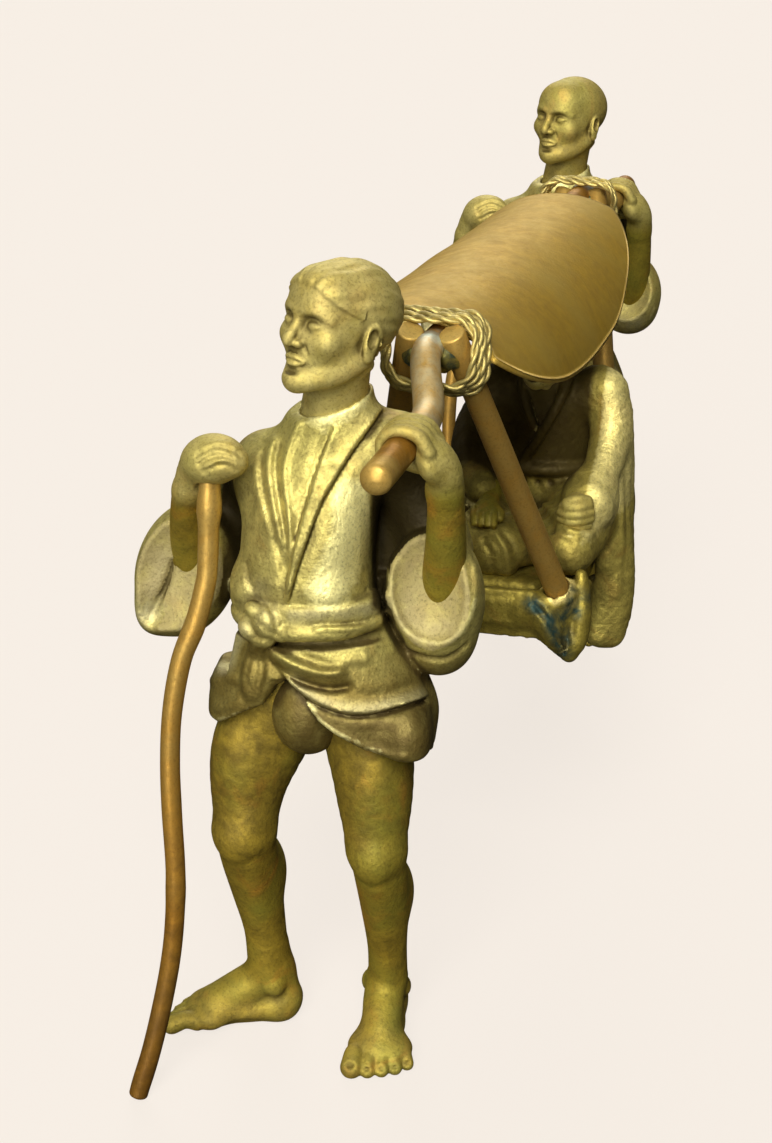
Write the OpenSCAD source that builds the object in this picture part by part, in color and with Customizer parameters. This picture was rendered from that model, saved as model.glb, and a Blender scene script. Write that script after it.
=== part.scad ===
// Cast bronze group: two bearers with walking sticks carrying a roofed pole litter
// with a seated passenger. Millimetres, Z up, the group walks towards -Y, the bearers'
// left side is +X. The origin is the middle of the bounding box on the ground.

/* [Group] */
// Distance between the two bearers along the pole
bearer_gap = 212; // [208:1:220]
// Radial clearance between each fist and the rod it holds
grip_clear = 0.05; // [0.02:0.01:0.08]

/* [Sticks] */
// Diameter of each walking stick
stick_d = 4.0; // [3.4:0.1:4.2]

/* [Pole] */
// Diameter of the carrying pole
pole_d = 5.8; // [5.2:0.1:6.0]
// Length of pole in front of the front bearer's fist
pole_front = 14; // [10:1:18]
// Length of pole behind the rear bearer's fist
pole_rear = 14; // [10:1:18]

/* [Litter] */
// Diameter of the four struts
strut_d = 5.2; // [4.8:0.1:5.4]
// Thickness of the roof sheet
roof_t = 1.2; // [0.8:0.1:1.6]
// Half the width of the roof, measured flat
roof_half = 26; // [24:0.5:27]
// Sideways lean of the roof in degrees
roof_lean = 10; // [4:1:11]
// Diameter of the binding rope
rope_d = 1.9; // [1.6:0.1:1.9]
// Thickness of the seat floor
seat_t = 2.4; // [2.0:0.1:3.0]

/* [Hidden] */

// middle of the bounding box seen from the front bearer, who stands at x 0, y 0
ox = 1.05;
oy = -97.7;

pole_r = pole_d / 2;
stick_r = stick_d / 2;
strut_r = strut_d / 2;
rope_r = rope_d / 2;

// pole route, fist and shoulder stations
pole_x = 14.1;
pole_z = 133.4;
fist_y0 = -15;
fist_y1 = -5;
mid_x = 9.6;
mid_z0 = 141;
mid_z1 = 139;
cross_f = 25;
cross_r = 176;

// stick: straight top in the fist, then a crooked branch down to the ground
stick_top = [-21.6, -10, 130];
stick_low = [-22.2, -12.2, 108];
stick_run = [[-22.15, -12.0, 110], [-22.6, -12.9, 104], [-24.2, -14.3, 97], [-26.6, -16, 90],
             [-28.2, -17.6, 80], [-28.6, -18.8, 70], [-28.2, -20, 60], [-27.6, -21, 48],
             [-27.8, -22, 38], [-28.6, -23.2, 29], [-30.2, -25, 19], [-32, -26.9, 10],
             [-33.8, -28.5, 3], [-34.9, -29.5, -1.5]];

// hem plane of the robes, spigots
hem_z = 69;
hip_r = [-13.5, 1];
hip_l = [3.5, 1];
neck = [-2.4, 1.8];
neck_z = 135.2;

// arms: elbow inside the sleeve, wrist
elbow_r = [-31.5, 6, 96];
wrist_r = [-28.6, -5.6, 117];
fist_r = [-22.0, -10.6, 125.4];
elbow_l = [19.2, 5, 97];
wrist_l = [20.2, -6.2, 125];

// struts: top at the pole, foot in the seat socket
sx_f = 20.3;
sx_r = 18;
foot_yf = 58;
foot_yr = 130;
foot_z = 78.6;
top_dx = 3.95;

function unit(v) = v / norm(v);
function lerp(a, b, t) = a + (b - a) * t;
// point of a smooth curve through four stations
function bend(a, b, c, d, t) =
  0.5 * ((2 * b) + (c - a) * t + (2 * a - 5 * b + 4 * c - d) * t * t + (3 * b - a - 3 * c + d) * t * t * t);
function smooth_run(p, k) = [
  for (i = [0 : len(p) - 2]) for (j = [0 : k - 1])
    bend(p[max(i - 1, 0)], p[i], p[i + 1], p[min(i + 2, len(p) - 1)], j / k),
  p[len(p) - 1]
];

module ball(p, r, n = 18) translate(p) sphere(r = r, $fn = n);

// straight round rod between two points
module rod(a, b, r, n = 48) {
  d = b - a;
  l = norm(d);
  translate(a) rotate([0, acos(d[2] / l), atan2(d[1], d[0])]) cylinder(h = l, r = r, $fn = n);
}

// tapered rod between two points
module cone(a, ra, b, rb, n = 48) {
  d = b - a;
  l = norm(d);
  translate(a) rotate([0, acos(d[2] / l), atan2(d[1], d[0])]) cylinder(h = l, r1 = ra, r2 = rb, $fn = n);
}

// bent round rod along a run of points
module run_rod(p, r, sides, up) {
  n = len(p);
  tan = [for (i = [0 : n - 1]) unit(p[min(i + 1, n - 1)] - p[max(i - 1, 0)])];
  pts = [for (i = [0 : n - 1]) let (a = unit(cross(up, tan[i])), b = cross(tan[i], a))
         for (j = [0 : sides - 1]) p[i] + r * (cos(360 * j / sides) * a + sin(360 * j / sides) * b)];
  faces = concat(
    [[for (j = [0 : sides - 1]) j]],
    [for (i = [0 : n - 2]) for (j = [0 : sides - 1]) let (k = (j + 1) % sides)
      [(i + 1) * sides + j, (i + 1) * sides + k, i * sides + k, i * sides + j]],
    [[for (j = [sides - 1 : -1 : 0]) (n - 1) * sides + j]]);
  polyhedron(points = pts, faces = faces, convexity = 6);
}

module rear() translate([0, bearer_gap, 0]) children();
module place() translate([ox, oy, 0]) children();
module bronze() color([0.62, 0.50, 0.24]) children();
module skin() color([0.40, 0.36, 0.18]) children();
module copper() color([0.48, 0.29, 0.15]) children();

// ---- bearer ---------------------------------------------------------------

function arm_seat(e, w) = lerp(e, w, 0.30);

// small dowels that lock head, arms and legs into the robe casting
module dowels(r) {
  rod([neck[0], -2.2, 129.4], [neck[0], 6.4, 129.4], r, 24);
  rod([hip_r[0], -7, 75], [hip_r[0], 9, 75], r, 24);
  rod([hip_l[0], -7, 75], [hip_l[0], 9, 75], r, 24);
  a = lerp(elbow_r, wrist_r, 0.14);
  rod(a - [6, 0, 0], a + [6, 0, 0], r, 24);
  b = lerp(elbow_l, wrist_l, 0.14);
  rod(b - [6, 0, 0], b + [6, 0, 0], r, 24);
}

module robe() bronze() difference() {
  union() {
    hull() { // chest and shoulders
      ball([-15.5, 3, 127.5], 6.4); ball([8, 4, 128.5], 6.2); ball([-3.5, 3, 132], 6);
      ball([-12.5, -1.5, 115], 9.6); ball([2, -1.5, 115], 9.6);
      ball([-11.5, -0.5, 98], 10.4); ball([0.5, -0.5, 98], 10.4);
    }
    hull() { // belt to hem
      ball([-11.5, -0.5, 96], 10.2); ball([0.5, -0.5, 96], 10.2);
      ball([-15.5, 1, 76], 12.2); ball([5.5, 1, 76], 12.2);
      ball([-14, 0, 66], 11.5); ball([4, 0, 66], 11.5);
    }
    hull() { // right sleeve
      ball([-19, 4, 126], 6); ball([-28, 5, 110], 6.6); ball([-34.5, 3, 97], 8.4);
      ball([-28, 3, 95], 7.6); ball([-33, 0, 93], 7);
    }
    hull() { // left sleeve
      ball([11, 6, 126], 5.4); ball([16, 7, 110], 6); ball([19, 4, 97], 7.6);
      ball([17.5, 0, 96], 7.2); ball([19, 2, 92.5], 6.6);
    }
  }
  translate([-80, -60, hem_z - 60]) cube([140, 120, 60]);
  // neck seat and socket
  translate([neck[0], neck[1], neck_z]) cylinder(h = 20, r = 6.1, $fn = 48);
  translate([neck[0], neck[1], 125]) cylinder(h = 20, r = 3.55, $fn = 48);
  // leg sockets
  for (h = [hip_r, hip_l]) translate([h[0], h[1], hem_z - 1]) cylinder(h = 14, r = 5.05, $fn = 48);
  // sleeve mouths and arm sockets
  rod(arm_seat(elbow_r, wrist_r), lerp(elbow_r, wrist_r, 2), 6.4);
  rod(lerp(elbow_r, wrist_r, 0), lerp(elbow_r, wrist_r, 1), 2.75);
  rod(arm_seat(elbow_l, wrist_l), lerp(elbow_l, wrist_l, 2), 6.0);
  rod(lerp(elbow_l, wrist_l, 0), lerp(elbow_l, wrist_l, 1), 2.75);
  // hollow under the pole and room for the left fist
  rod([pole_x, -30, pole_z], [pole_x, 40, pole_z], 3.5);
  hull() { ball([14, -13, 132.5], 7.4); ball([14, -6.5, 132.5], 7.4); }
  dowels(0.8);
}

module head() skin() difference() {
  union() {
    hull() { // skull
      ball([0.8, 1.6, 155.6], 8.8, 22); ball([1.6, 3, 152], 8.4, 22); ball([-1.6, -3, 153], 7.6, 22);
    }
    hull() { // face and jaw
      ball([-1.8, -3.2, 151.5], 7.2, 20); ball([-3.6, -6, 144.6], 3.8, 20); ball([0.4, 0.6, 147.6], 6, 20);
    }
    hull() { ball([-4.8, -8.4, 150.6], 1.5, 14); ball([-5.7, -10, 148.4], 1.5, 14); } // nose
    translate([neck[0], neck[1], neck_z]) cylinder(h = 2.6, r = 6.0, $fn = 48);
    cone([neck[0], neck[1], neck_z + 1.2], 5.9, [-0.6, 1.2, 150], 4.8);
    translate([neck[0], neck[1], 126]) cylinder(h = 12, r = 3.5, $fn = 48);
  }
  dowels(0.8);
}

module right_arm() skin() difference() {
  union() {
    cone(arm_seat(elbow_r, wrist_r), 4.6, lerp(elbow_r, wrist_r, 1.02), 3.2);
    rod(lerp(elbow_r, wrist_r, 0.04), lerp(elbow_r, wrist_r, 0.5), 2.7);
    hull() { ball(wrist_r, 3.2, 20); ball(fist_r + [-2.4, 1.2, -1.2], 3.8, 20); }
    hull() { // fist
      ball(fist_r + [-2.6, 0.8, -1.6], 4, 24); ball(fist_r + [2.4, 0, -1], 3.6, 24);
      ball(fist_r + [-2, 0.4, 2.2], 3.6, 24); ball(fist_r + [2.2, -0.4, 2.2], 3.4, 24);
    }
  }
  rod(lerp(stick_top, stick_low, -0.6), lerp(stick_top, stick_low, 1.2), stick_r + grip_clear);
  dowels(0.8);
}

module left_arm() skin() difference() {
  union() {
    cone(arm_seat(elbow_l, wrist_l), 4.4, lerp(elbow_l, wrist_l, 1.02), 3.1);
    rod(lerp(elbow_l, wrist_l, 0.04), lerp(elbow_l, wrist_l, 0.5), 2.7);
    hull() { ball(wrist_l, 3.1, 20); ball([17.2, -9.6, 130.6], 3.6, 20); }
    hull() { // fist round the pole
      ball([pole_x + 1, fist_y0 + 4.6, pole_z - 0.6], 4.8, 24); ball([pole_x + 1, fist_y1 - 4.4, pole_z - 0.6], 4.8, 24);
      ball([pole_x - 0.8, fist_y0 + 4.4, pole_z + 0.4], 4.5, 24); ball([pole_x - 0.8, fist_y1 - 4.6, pole_z + 0.4], 4.5, 24);
    }
  }
  rod([pole_x, -40, pole_z], [pole_x, 40, pole_z], pole_r + grip_clear);
  dowels(0.8);
}

module right_leg() skin() difference() {
  union() {
    hull() { ball([-14.6, 0.4, 72], 9.4); ball([-17.4, -2, 63], 9); ball([-18, -7.4, 50], 6.9); }
    hull() { ball([-18, -7, 48.6], 6.6); ball([-19.2, 0.6, 35], 6.2); ball([-18, 3, 17], 4.5); }
    hull() { // foot
      ball([-18.4, 3, 14], 4.4); ball([-15.6, 5.4, 3.6], 4.2); ball([-27, -1.6, 3.4], 4.6);
      ball([-33.6, -3.2, 1.6], 2.2); ball([-31.6, -8.2, 1.6], 2.2);
    }
    translate([hip_r[0], hip_r[1], hem_z - 4]) cylinder(h = 16, r = 5, $fn = 48);
  }
  difference() {
    translate([-60, -60, hem_z]) cube([120, 120, 40]);
    translate([hip_r[0], hip_r[1], hem_z - 6]) cylinder(h = 60, r = 5, $fn = 48);
  }
  translate([-60, -60, -20]) cube([120, 120, 20]);
  dowels(0.8);
}

module left_leg() skin() difference() {
  union() {
    hull() { ball([4.6, 0.4, 72], 9); ball([6.4, -1.6, 62], 8.2); ball([8.9, -6.8, 49.5], 6.4); }
    hull() { ball([8.9, -6.4, 48], 6.2); ball([7.8, 2.6, 34], 5.8); ball([7, 6.4, 17], 4.4); }
    hull() { // foot
      ball([6.8, 6.8, 14], 4.3); ball([5.8, 10.4, 3.6], 4.2); ball([7.4, 0, 4], 5);
      ball([4.2, -8.6, 1.8], 2.4); ball([12.6, -7.4, 1.8], 2.4);
    }
    translate([hip_l[0], hip_l[1], hem_z - 4]) cylinder(h = 16, r = 5, $fn = 48);
  }
  difference() {
    translate([-60, -60, hem_z]) cube([120, 120, 40]);
    translate([hip_l[0], hip_l[1], hem_z - 6]) cylinder(h = 60, r = 5, $fn = 48);
  }
  translate([-60, -60, -20]) cube([120, 120, 20]);
  dowels(0.8);
}

module pins() copper() dowels(0.78);

module stick() copper() difference() {
  union() {
    rod(stick_top, stick_low, stick_r);
    run_rod(smooth_run(stick_run, 3), stick_r - 0.08, 14, [0, 1, 0]);
  }
  translate([-80, -80, -20]) cube([120, 120, 20]);
}

// ---- litter ---------------------------------------------------------------

pole_end_r = bearer_gap + fist_y1 + pole_rear;
pole_end_f = fist_y0 - pole_front;

// straight end of the pole, rounded off at the tip
module pole_end(l) rotate_extrude($fn = 64)
  polygon([[0, 0], [pole_r, 0], [pole_r, l - 1.6], [pole_r - 0.3, l - 0.8], [pole_r - 0.9, l - 0.25], [pole_r - 1.8, l], [0, l]]);

module pole() copper() union() {
  translate([pole_x, 4, pole_z]) rotate([90, 0, 0]) pole_end(4 - pole_end_f);
  translate([pole_x, bearer_gap - 16.5, pole_z]) rotate([-90, 0, 0]) pole_end(pole_end_r - bearer_gap + 16.5);
  rod([mid_x, 23, mid_z0], [mid_x, 180, mid_z1], pole_r, 64);
  run_rod(smooth_run([[pole_x, 1, pole_z], [pole_x, 4.6, pole_z], [13.2, 10, 134.9], [10.6, 17.4, 139.4],
                      [mid_x, 22.6, mid_z0], [mid_x, 27, mid_z0]], 4), pole_r - 0.1, 20, [0, 0, 1]);
  run_rod(smooth_run([[mid_x, 176, mid_z1], [mid_x, 180.4, mid_z1], [10.6, 184.6, 138.1], [13, bearer_gap - 20.6, 134.6],
                      [pole_x, bearer_gap - 16.8, pole_z], [pole_x, bearer_gap - 12, pole_z]], 4), pole_r - 0.1, 20, [0, 0, 1]);
}

// one turn of rope drawn tight round the pole and two struts
module turn(y, top, low, half) translate([mid_x, y, 0]) rotate([90, 0, 0]) {
  c = 4.4;
  for (k = [0 : 3]) {
    x = (k == 0 || k == 3 ? 1 : -1) * (half - c);
    translate([x, k < 2 ? top - c : low + c, 0]) rotate([0, 0, 90 * k])
      rotate_extrude(angle = 90, $fn = 96) translate([c, 0]) circle(r = rope_r, $fn = 32);
  }
  for (z = [top, low]) rod([c - half, z, 0], [half - c, z, 0], rope_r, 32);
  for (x = [-half, half]) rod([x, low + c, 0], [x, top - c, 0], rope_r, 32);
}
module front_rope() bronze() { turn(27.8, 146.3, 130, 9.6); turn(25.8, 146.1, 132.4, 9.2); }
module rear_rope() bronze() { turn(173.2, 143.2, 129.6, 9.2); turn(175.2, 143.2, 132.2, 8.8); }

function strut_top(side, back) = [mid_x + side * top_dx, back ? cross_r : cross_f, back ? mid_z1 + 1.2 : mid_z0 + 3];
function strut_foot(side, back) = [mid_x + side * (back ? sx_r : sx_f), back ? foot_yr : foot_yf, foot_z];
// the strut ends inside its socket
function strut_end(side, back) = strut_foot(side, back) + 7 * unit(strut_foot(side, back) - strut_top(side, back));

module strut(side, back) copper() difference() {
  rod(strut_top(side, back), strut_end(side, back), strut_r);
  rod([mid_x, 23 - 60, mid_z0 + 60 * (mid_z0 - mid_z1) / 157], [mid_x, 180 + 60, mid_z1 - 60 * (mid_z0 - mid_z1) / 157], pole_r + 0.02, 64);
  strut_pin(side, back, 0.72);
}

module strut_pin(side, back, r) {
  p = strut_foot(side, back) + 3 * unit(strut_foot(side, back) - strut_top(side, back));
  rod(p - [5.2, 0, 0], p + [5.2, 0, 0], r, 24);
}

// rim of the roof seen from above: broad rounded corners, cut straight at both ends
function rim(t) = let (n = t > 180 ? 2.7 : 2.3, b = t > 180 ? 66 : 72)
  [roof_half * sign(cos(t)) * pow(abs(cos(t)), 2 / n), 90 + b * sign(sin(t)) * pow(abs(sin(t)), 2 / n)];
module roof_outline(h) linear_extrude(height = h) intersection() {
  polygon([for (i = [0 : 71]) rim(i * 5)]);
  translate([-40, 29.5]) square([80, 124]);
}

// curved sheet resting along the pole; it leans to the left side
module roof() bronze() translate([mid_x, 0, 145.6]) rotate([0, roof_lean, 0]) intersection() {
  translate([0, 0, -29]) rotate([-90, 0, 0]) difference() {
    cylinder(h = 200, r = 29, $fn = 128);
    translate([0, 0, -1]) cylinder(h = 202, r = 29 - roof_t, $fn = 128);
  }
  translate([0, 0, -28]) roof_outline(40);
}

module seat_plan(grow) {
  a = sx_f + grow;
  b = sx_r + grow;
  polygon([[mid_x - a + 4, foot_yf - 4 - grow], [mid_x + a - 4, foot_yf - 4 - grow], [mid_x + a, foot_yf - grow],
           [mid_x + b, foot_yr + grow], [mid_x + b - 4, foot_yr + 4 + grow], [mid_x - b + 4, foot_yr + 4 + grow],
           [mid_x - b, foot_yr + grow], [mid_x - a, foot_yf - grow]]);
}

// cup round a strut foot, drawn in to a blunt point below
module ear(side, back) {
  u = unit(strut_foot(side, back) - strut_top(side, back));
  a = strut_foot(side, back) + 13 * u;
  translate(a) rotate([0, acos(-u[2]), atan2(-u[1], -u[0])]) rotate([0, 0, 130]) rotate_extrude($fn = 48)
    polygon([[0, 0], [3.2, 0], [5.15, 3.1], [5.15, 14.7], [0, 14.7]]);
}

seat_z = 70;
module seat() bronze() difference() {
  union() {
    difference() {
      translate([0, 0, seat_z]) linear_extrude(height = 8) seat_plan(0.5);
      translate([0, 0, seat_z + seat_t]) linear_extrude(height = 20) seat_plan(-2);
    }
    for (s = [-1, 1]) for (k = [0, 1]) ear(s, k == 1);
  }
  for (s = [-1, 1]) for (k = [0, 1]) {
    rod(strut_top(s, k == 1), strut_end(s, k == 1), strut_r + 0.02);
    strut_pin(s, k == 1, 0.72);
  }
  translate([18, 98, seat_z - 5]) cylinder(h = 20, r = 1.6, $fn = 32);
}

module strut_pins() copper() for (s = [-1, 1]) for (k = [0, 1]) strut_pin(s, k == 1, 0.7);

cush_z = 79;
module seat_cushion() color([0.55, 0.46, 0.25]) difference() {
  translate([0, 0, seat_z + seat_t]) linear_extrude(height = cush_z - seat_z - seat_t) {
    translate([-1.4, 64.6]) square([22, 62]);
    translate([-3.4, 66.6]) square([26, 58]);
    for (x = [-1.4, 20.6]) for (y = [66.6, 124.6]) translate([x, y]) circle(r = 2, $fn = 32);
  }
  translate([18, 98, seat_z - 5]) cylinder(h = 40, r = 1.6, $fn = 32);
}

// ---- passenger ------------------------------------------------------------

p_neck = [19, 91, 112.6];
p_hand_l = [30.2, 73.4, 92.6];
p_hand_r = [10.4, 71.4, 92];

module passenger_robe() bronze() difference() {
  union() {
    hull() { // body
      ball([17, 103, 89], 11.4); ball([16.5, 101, 100], 10.6); ball([11, 97, 110], 6.4); ball([26, 96, 111], 6.4);
    }
    hull() { // lap and knees
      ball([11.5, 74, 85], 6.6); ball([24.6, 70, 85], 6.6); ball([9, 100, 86], 9); ball([24, 100, 86], 9);
    }
    hull() { ball([30, 94, 113], 5.4); ball([34.2, 90, 104], 4.8); ball([30.4, 80, 95.6], 3.8); } // left arm
    hull() { ball([34.8, 91, 105], 3.9); ball([36.6, 91, 72], 4.2); ball([36, 91, 58.4], 3.9); ball([36.6, 95, 64], 3.4); } // hanging sleeve
    hull() { ball([8, 95, 111], 5.2); ball([2.6, 86, 99], 4.8); ball([8.6, 77, 94], 3.8); } // right arm
  }
  translate([-60, 0, cush_z - 40]) cube([93.4, 200, 40]);
  translate([p_neck[0], p_neck[1], p_neck[2]]) cylinder(h = 30, r = 5.1, $fn = 48);
  translate([p_neck[0], p_neck[1], p_neck[2] - 8]) cylinder(h = 30, r = 2.65, $fn = 48);
  rod(p_hand_l + [0.108, 8.4, 2.73], p_hand_l, 1.85, 32);
  rod(p_hand_r + [-1.26, 8.4, 2.73], p_hand_r, 1.85, 32);
  hull() { ball(p_hand_l, 3.6); ball(p_hand_l + [-1, -4.4, -1.6], 3.2); }
  hull() { ball(p_hand_r, 3.6); ball(p_hand_r + [1, -4.4, -1.6], 3.2); }
  translate([18, 98, cush_z - 1]) cylinder(h = 10, r = 1.55, $fn = 32);
}

module passenger_head() skin() union() {
  hull() { ball([19.4, 89, 128.6], 7.2, 20); ball([19.4, 90.6, 126], 7, 20); ball([18.6, 85.6, 126.6], 6.2, 20); }
  hull() { ball([18.6, 85.4, 125.6], 6, 20); ball([17.8, 83, 119.8], 3.2, 20); ball([19.2, 89, 121], 4.6, 20); }
  translate(p_neck) cylinder(h = 2.6, r = 5, $fn = 48);
  cone(p_neck + [0, 0, 1.4], 4.9, [19.2, 89, 122], 4.2);
  translate([p_neck[0], p_neck[1], p_neck[2] - 7.5]) cylinder(h = 9, r = 2.6, $fn = 48);
}

module passenger_left_hand() skin() union() {
  hull() { ball(p_hand_l, 3.2); ball(p_hand_l + [-1, -4.4, -1.6], 2.8); }
  rod(p_hand_l + [0.09, 7, 2.275], p_hand_l, 1.8, 32);
}

module passenger_right_hand() skin() union() {
  hull() { ball(p_hand_r, 3.2); ball(p_hand_r + [1, -4.4, -1.6], 2.8); }
  rod(p_hand_r + [-1.05, 7, 2.275], p_hand_r, 1.8, 32);
}

module passenger_stud() copper() translate([18, 98, seat_z - 4.4]) cylinder(h = cush_z - seat_z + 4.4 + 8.6, r = 1.5, $fn = 32);

module passenger_nut() copper() difference() {
  translate([18, 98, seat_z - 3]) cylinder(h = 3, r = 3.4, $fn = 6);
  translate([18, 98, seat_z - 6]) cylinder(h = 12, r = 1.5, $fn = 32);
}

// ---- nodes ----------------------------------------------------------------

place() robe();  // front_bearer_robe
place() head();  // front_bearer_head
place() right_arm();  // front_bearer_right_arm
place() left_arm();  // front_bearer_left_arm
place() right_leg();  // front_bearer_right_leg
place() left_leg();  // front_bearer_left_leg
place() pins();  // front_bearer_pins
place() stick();  // front_stick
place() rear() robe();  // rear_bearer_robe
place() rear() head();  // rear_bearer_head
place() rear() right_arm();  // rear_bearer_right_arm
place() rear() left_arm();  // rear_bearer_left_arm
place() rear() right_leg();  // rear_bearer_right_leg
place() rear() left_leg();  // rear_bearer_left_leg
place() rear() pins();  // rear_bearer_pins
place() rear() stick();  // rear_stick
place() pole();
place() front_rope();
place() rear_rope();
place() strut(1, false);  // strut_front_left
place() strut(-1, false);  // strut_front_right
place() strut(1, true);  // strut_rear_left
place() strut(-1, true);  // strut_rear_right
place() strut_pins();
place() roof();
place() seat();
place() seat_cushion();
place() passenger_robe();
place() passenger_head();
place() passenger_left_hand();
place() passenger_right_hand();
place() passenger_stud();
place() passenger_nut();
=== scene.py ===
import math

import bpy
import numpy as np
from mathutils import Matrix, Vector


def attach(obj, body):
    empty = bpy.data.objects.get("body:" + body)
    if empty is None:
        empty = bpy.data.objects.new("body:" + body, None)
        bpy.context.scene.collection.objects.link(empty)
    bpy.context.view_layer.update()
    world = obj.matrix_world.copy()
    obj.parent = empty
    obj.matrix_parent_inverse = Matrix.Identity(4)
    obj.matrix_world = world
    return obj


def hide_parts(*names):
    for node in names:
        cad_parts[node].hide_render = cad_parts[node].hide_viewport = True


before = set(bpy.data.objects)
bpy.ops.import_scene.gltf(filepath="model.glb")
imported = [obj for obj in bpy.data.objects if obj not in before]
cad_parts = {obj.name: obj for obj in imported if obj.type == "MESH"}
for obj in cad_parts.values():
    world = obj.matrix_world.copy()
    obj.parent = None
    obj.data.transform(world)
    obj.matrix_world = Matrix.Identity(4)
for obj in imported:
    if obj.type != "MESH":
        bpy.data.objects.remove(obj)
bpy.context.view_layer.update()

# Everything below is laid out in millimetres from the front bearer's place on the ground, then moved to the row frame.
OX, OY, GAP = 1.05, -97.7, 212.0
FINE = 1.0
F32 = np.float32

# ---------------------------------------------------------------- view of the photo
CAM = np.array([100.0, -323.0, 245.0])
YAW, PITCH, FOCAL = math.radians(15.9), math.radians(22.6), 1980.0
_h = np.array([-math.sin(YAW), math.cos(YAW), 0.0])
_z = np.array([0.0, 0.0, 1.0])
C_R = np.array([math.cos(YAW), math.sin(YAW), 0.0])
C_F = math.cos(PITCH) * _h - math.sin(PITCH) * _z
C_U = math.sin(PITCH) * _h + math.cos(PITCH) * _z


def sight(u, v):
    d = C_F + C_R * ((u - 386.0) / FOCAL) + C_U * ((571.5 - v) / FOCAL)
    return d / np.linalg.norm(d)


def spot(u, v, y):
    """The point at depth y on the line of sight through u, v."""
    d = sight(u, v)
    return CAM + d * ((y - CAM[1]) / d[1])


def seen(P):
    """Where points show in the photo's frame."""
    d = P - CAM.astype(F32)[None]
    w = d @ C_F.astype(F32)
    return F32(386.0) + F32(FOCAL) * (d @ C_R.astype(F32)) / w, F32(571.5) - F32(FOCAL) * (d @ C_U.astype(F32)) / w


def trail(u, v, pts):
    """Distance from a smooth run in the photo's frame, the side of it and how far along."""
    p = curve(pts, 3).astype(F32)
    seg = np.linalg.norm(np.diff(p, axis=0), axis=1)
    best = np.full(u.shape, 1e9, F32)
    side = np.zeros(u.shape, F32)
    run = np.zeros(u.shape, F32)
    s0 = 0.0
    for a, b, L in zip(p[:-1], p[1:], seg):
        d = b - a
        x, y = u - a[0], v - a[1]
        t = np.clip((x * d[0] + y * d[1]) / (L * L), 0, 1)
        q = (x - t * d[0]) ** 2 + (y - t * d[1]) ** 2
        m = q < best
        best = np.where(m, q, best)
        side = np.where(m, d[0] * y - d[1] * x, side)
        run = np.where(m, (s0 + t * L) / seg.sum(), run)
        s0 += L
    return np.sqrt(best), np.sign(side), run


# ---------------------------------------------------------------- sculpting with distance fields
def smin(a, b, k):
    if k <= 0:
        return np.minimum(a, b)
    h = np.maximum(k - np.abs(a - b), 0.0) / k
    return np.minimum(a, b) - h * h * (k * 0.25)


def rot(x=0.0, y=0.0, z=0.0):
    cx, sx, cy, sy, cz, sz = (f(math.radians(a)) for a in (x, y, z) for f in (math.cos, math.sin))
    rx = np.array([[1, 0, 0], [0, cx, -sx], [0, sx, cx]])
    ry = np.array([[cy, 0, sy], [0, 1, 0], [-sy, 0, cy]])
    rz = np.array([[cz, -sz, 0], [sz, cz, 0], [0, 0, 1]])
    return rz @ ry @ rx


def cone(a, ra, b, rb):
    a = [float(x) for x in a]
    b = [float(x) for x in b]
    d = [q - p for p, q in zip(a, b)]
    L = sum(x * x for x in d) + 1e-9
    lo = [min(p - ra, q - rb) for p, q in zip(a, b)]
    hi = [max(p + ra, q + rb) for p, q in zip(a, b)]
    ra, dr = float(ra), float(rb - ra)

    def f(X, Y, Z):
        x, y, z = X - a[0], Y - a[1], Z - a[2]
        t = np.clip((x * d[0] + y * d[1] + z * d[2]) / L, 0, 1)
        return np.sqrt((x - t * d[0]) ** 2 + (y - t * d[1]) ** 2 + (z - t * d[2]) ** 2) - (ra + dr * t)

    return lo, hi, f


def ell(c, r, M=None):
    c = [float(x) for x in c]
    r = [float(x) for x in r]
    if M is None:
        M = np.eye(3)
    A = [[float(x) for x in row] for row in np.asarray(M).T]
    e = np.sqrt(((np.asarray(M) * np.array(r)[None, :]) ** 2).sum(1))
    lo = [c[i] - e[i] for i in range(3)]
    hi = [c[i] + e[i] for i in range(3)]

    def f(X, Y, Z):
        x, y, z = X - c[0], Y - c[1], Z - c[2]
        q = [(A[i][0] * x + A[i][1] * y + A[i][2] * z) / r[i] for i in range(3)]
        k0 = np.sqrt(q[0] ** 2 + q[1] ** 2 + q[2] ** 2)
        k1 = np.sqrt((q[0] / r[0]) ** 2 + (q[1] / r[1]) ** 2 + (q[2] / r[2]) ** 2)
        return k0 * (k0 - 1.0) / np.maximum(k1, 1e-5)

    return lo, hi, f


def block(c, half, rnd, M=None):
    c = [float(x) for x in c]
    h = [float(x) - rnd for x in half]
    if M is None:
        M = np.eye(3)
    A = [[float(x) for x in row] for row in np.asarray(M).T]
    e = np.abs(np.asarray(M)) @ np.array(half)
    lo = [c[i] - e[i] for i in range(3)]
    hi = [c[i] + e[i] for i in range(3)]

    def f(X, Y, Z):
        x, y, z = X - c[0], Y - c[1], Z - c[2]
        q = [np.abs(A[i][0] * x + A[i][1] * y + A[i][2] * z) - h[i] for i in range(3)]
        out = np.sqrt(sum(np.maximum(w, 0) ** 2 for w in q))
        return out + np.minimum(np.maximum(q[0], np.maximum(q[1], q[2])), 0) - rnd

    return lo, hi, f


def curve(pts, sub):
    """Smooth run through rows of numbers."""
    p = np.array(pts, float)
    q = np.vstack([2 * p[0] - p[1], p, 2 * p[-1] - p[-2]])
    out = []
    for i in range(len(p) - 1):
        a, b, c, d = q[i], q[i + 1], q[i + 2], q[i + 3]
        for t in np.arange(sub) / sub:
            out.append(0.5 * (2 * b + (c - a) * t + (2 * a - 5 * b + 4 * c - d) * t**2 + (3 * b - a - 3 * c + d) * t**3))
    out.append(p[-1])
    return np.array(out)


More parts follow.
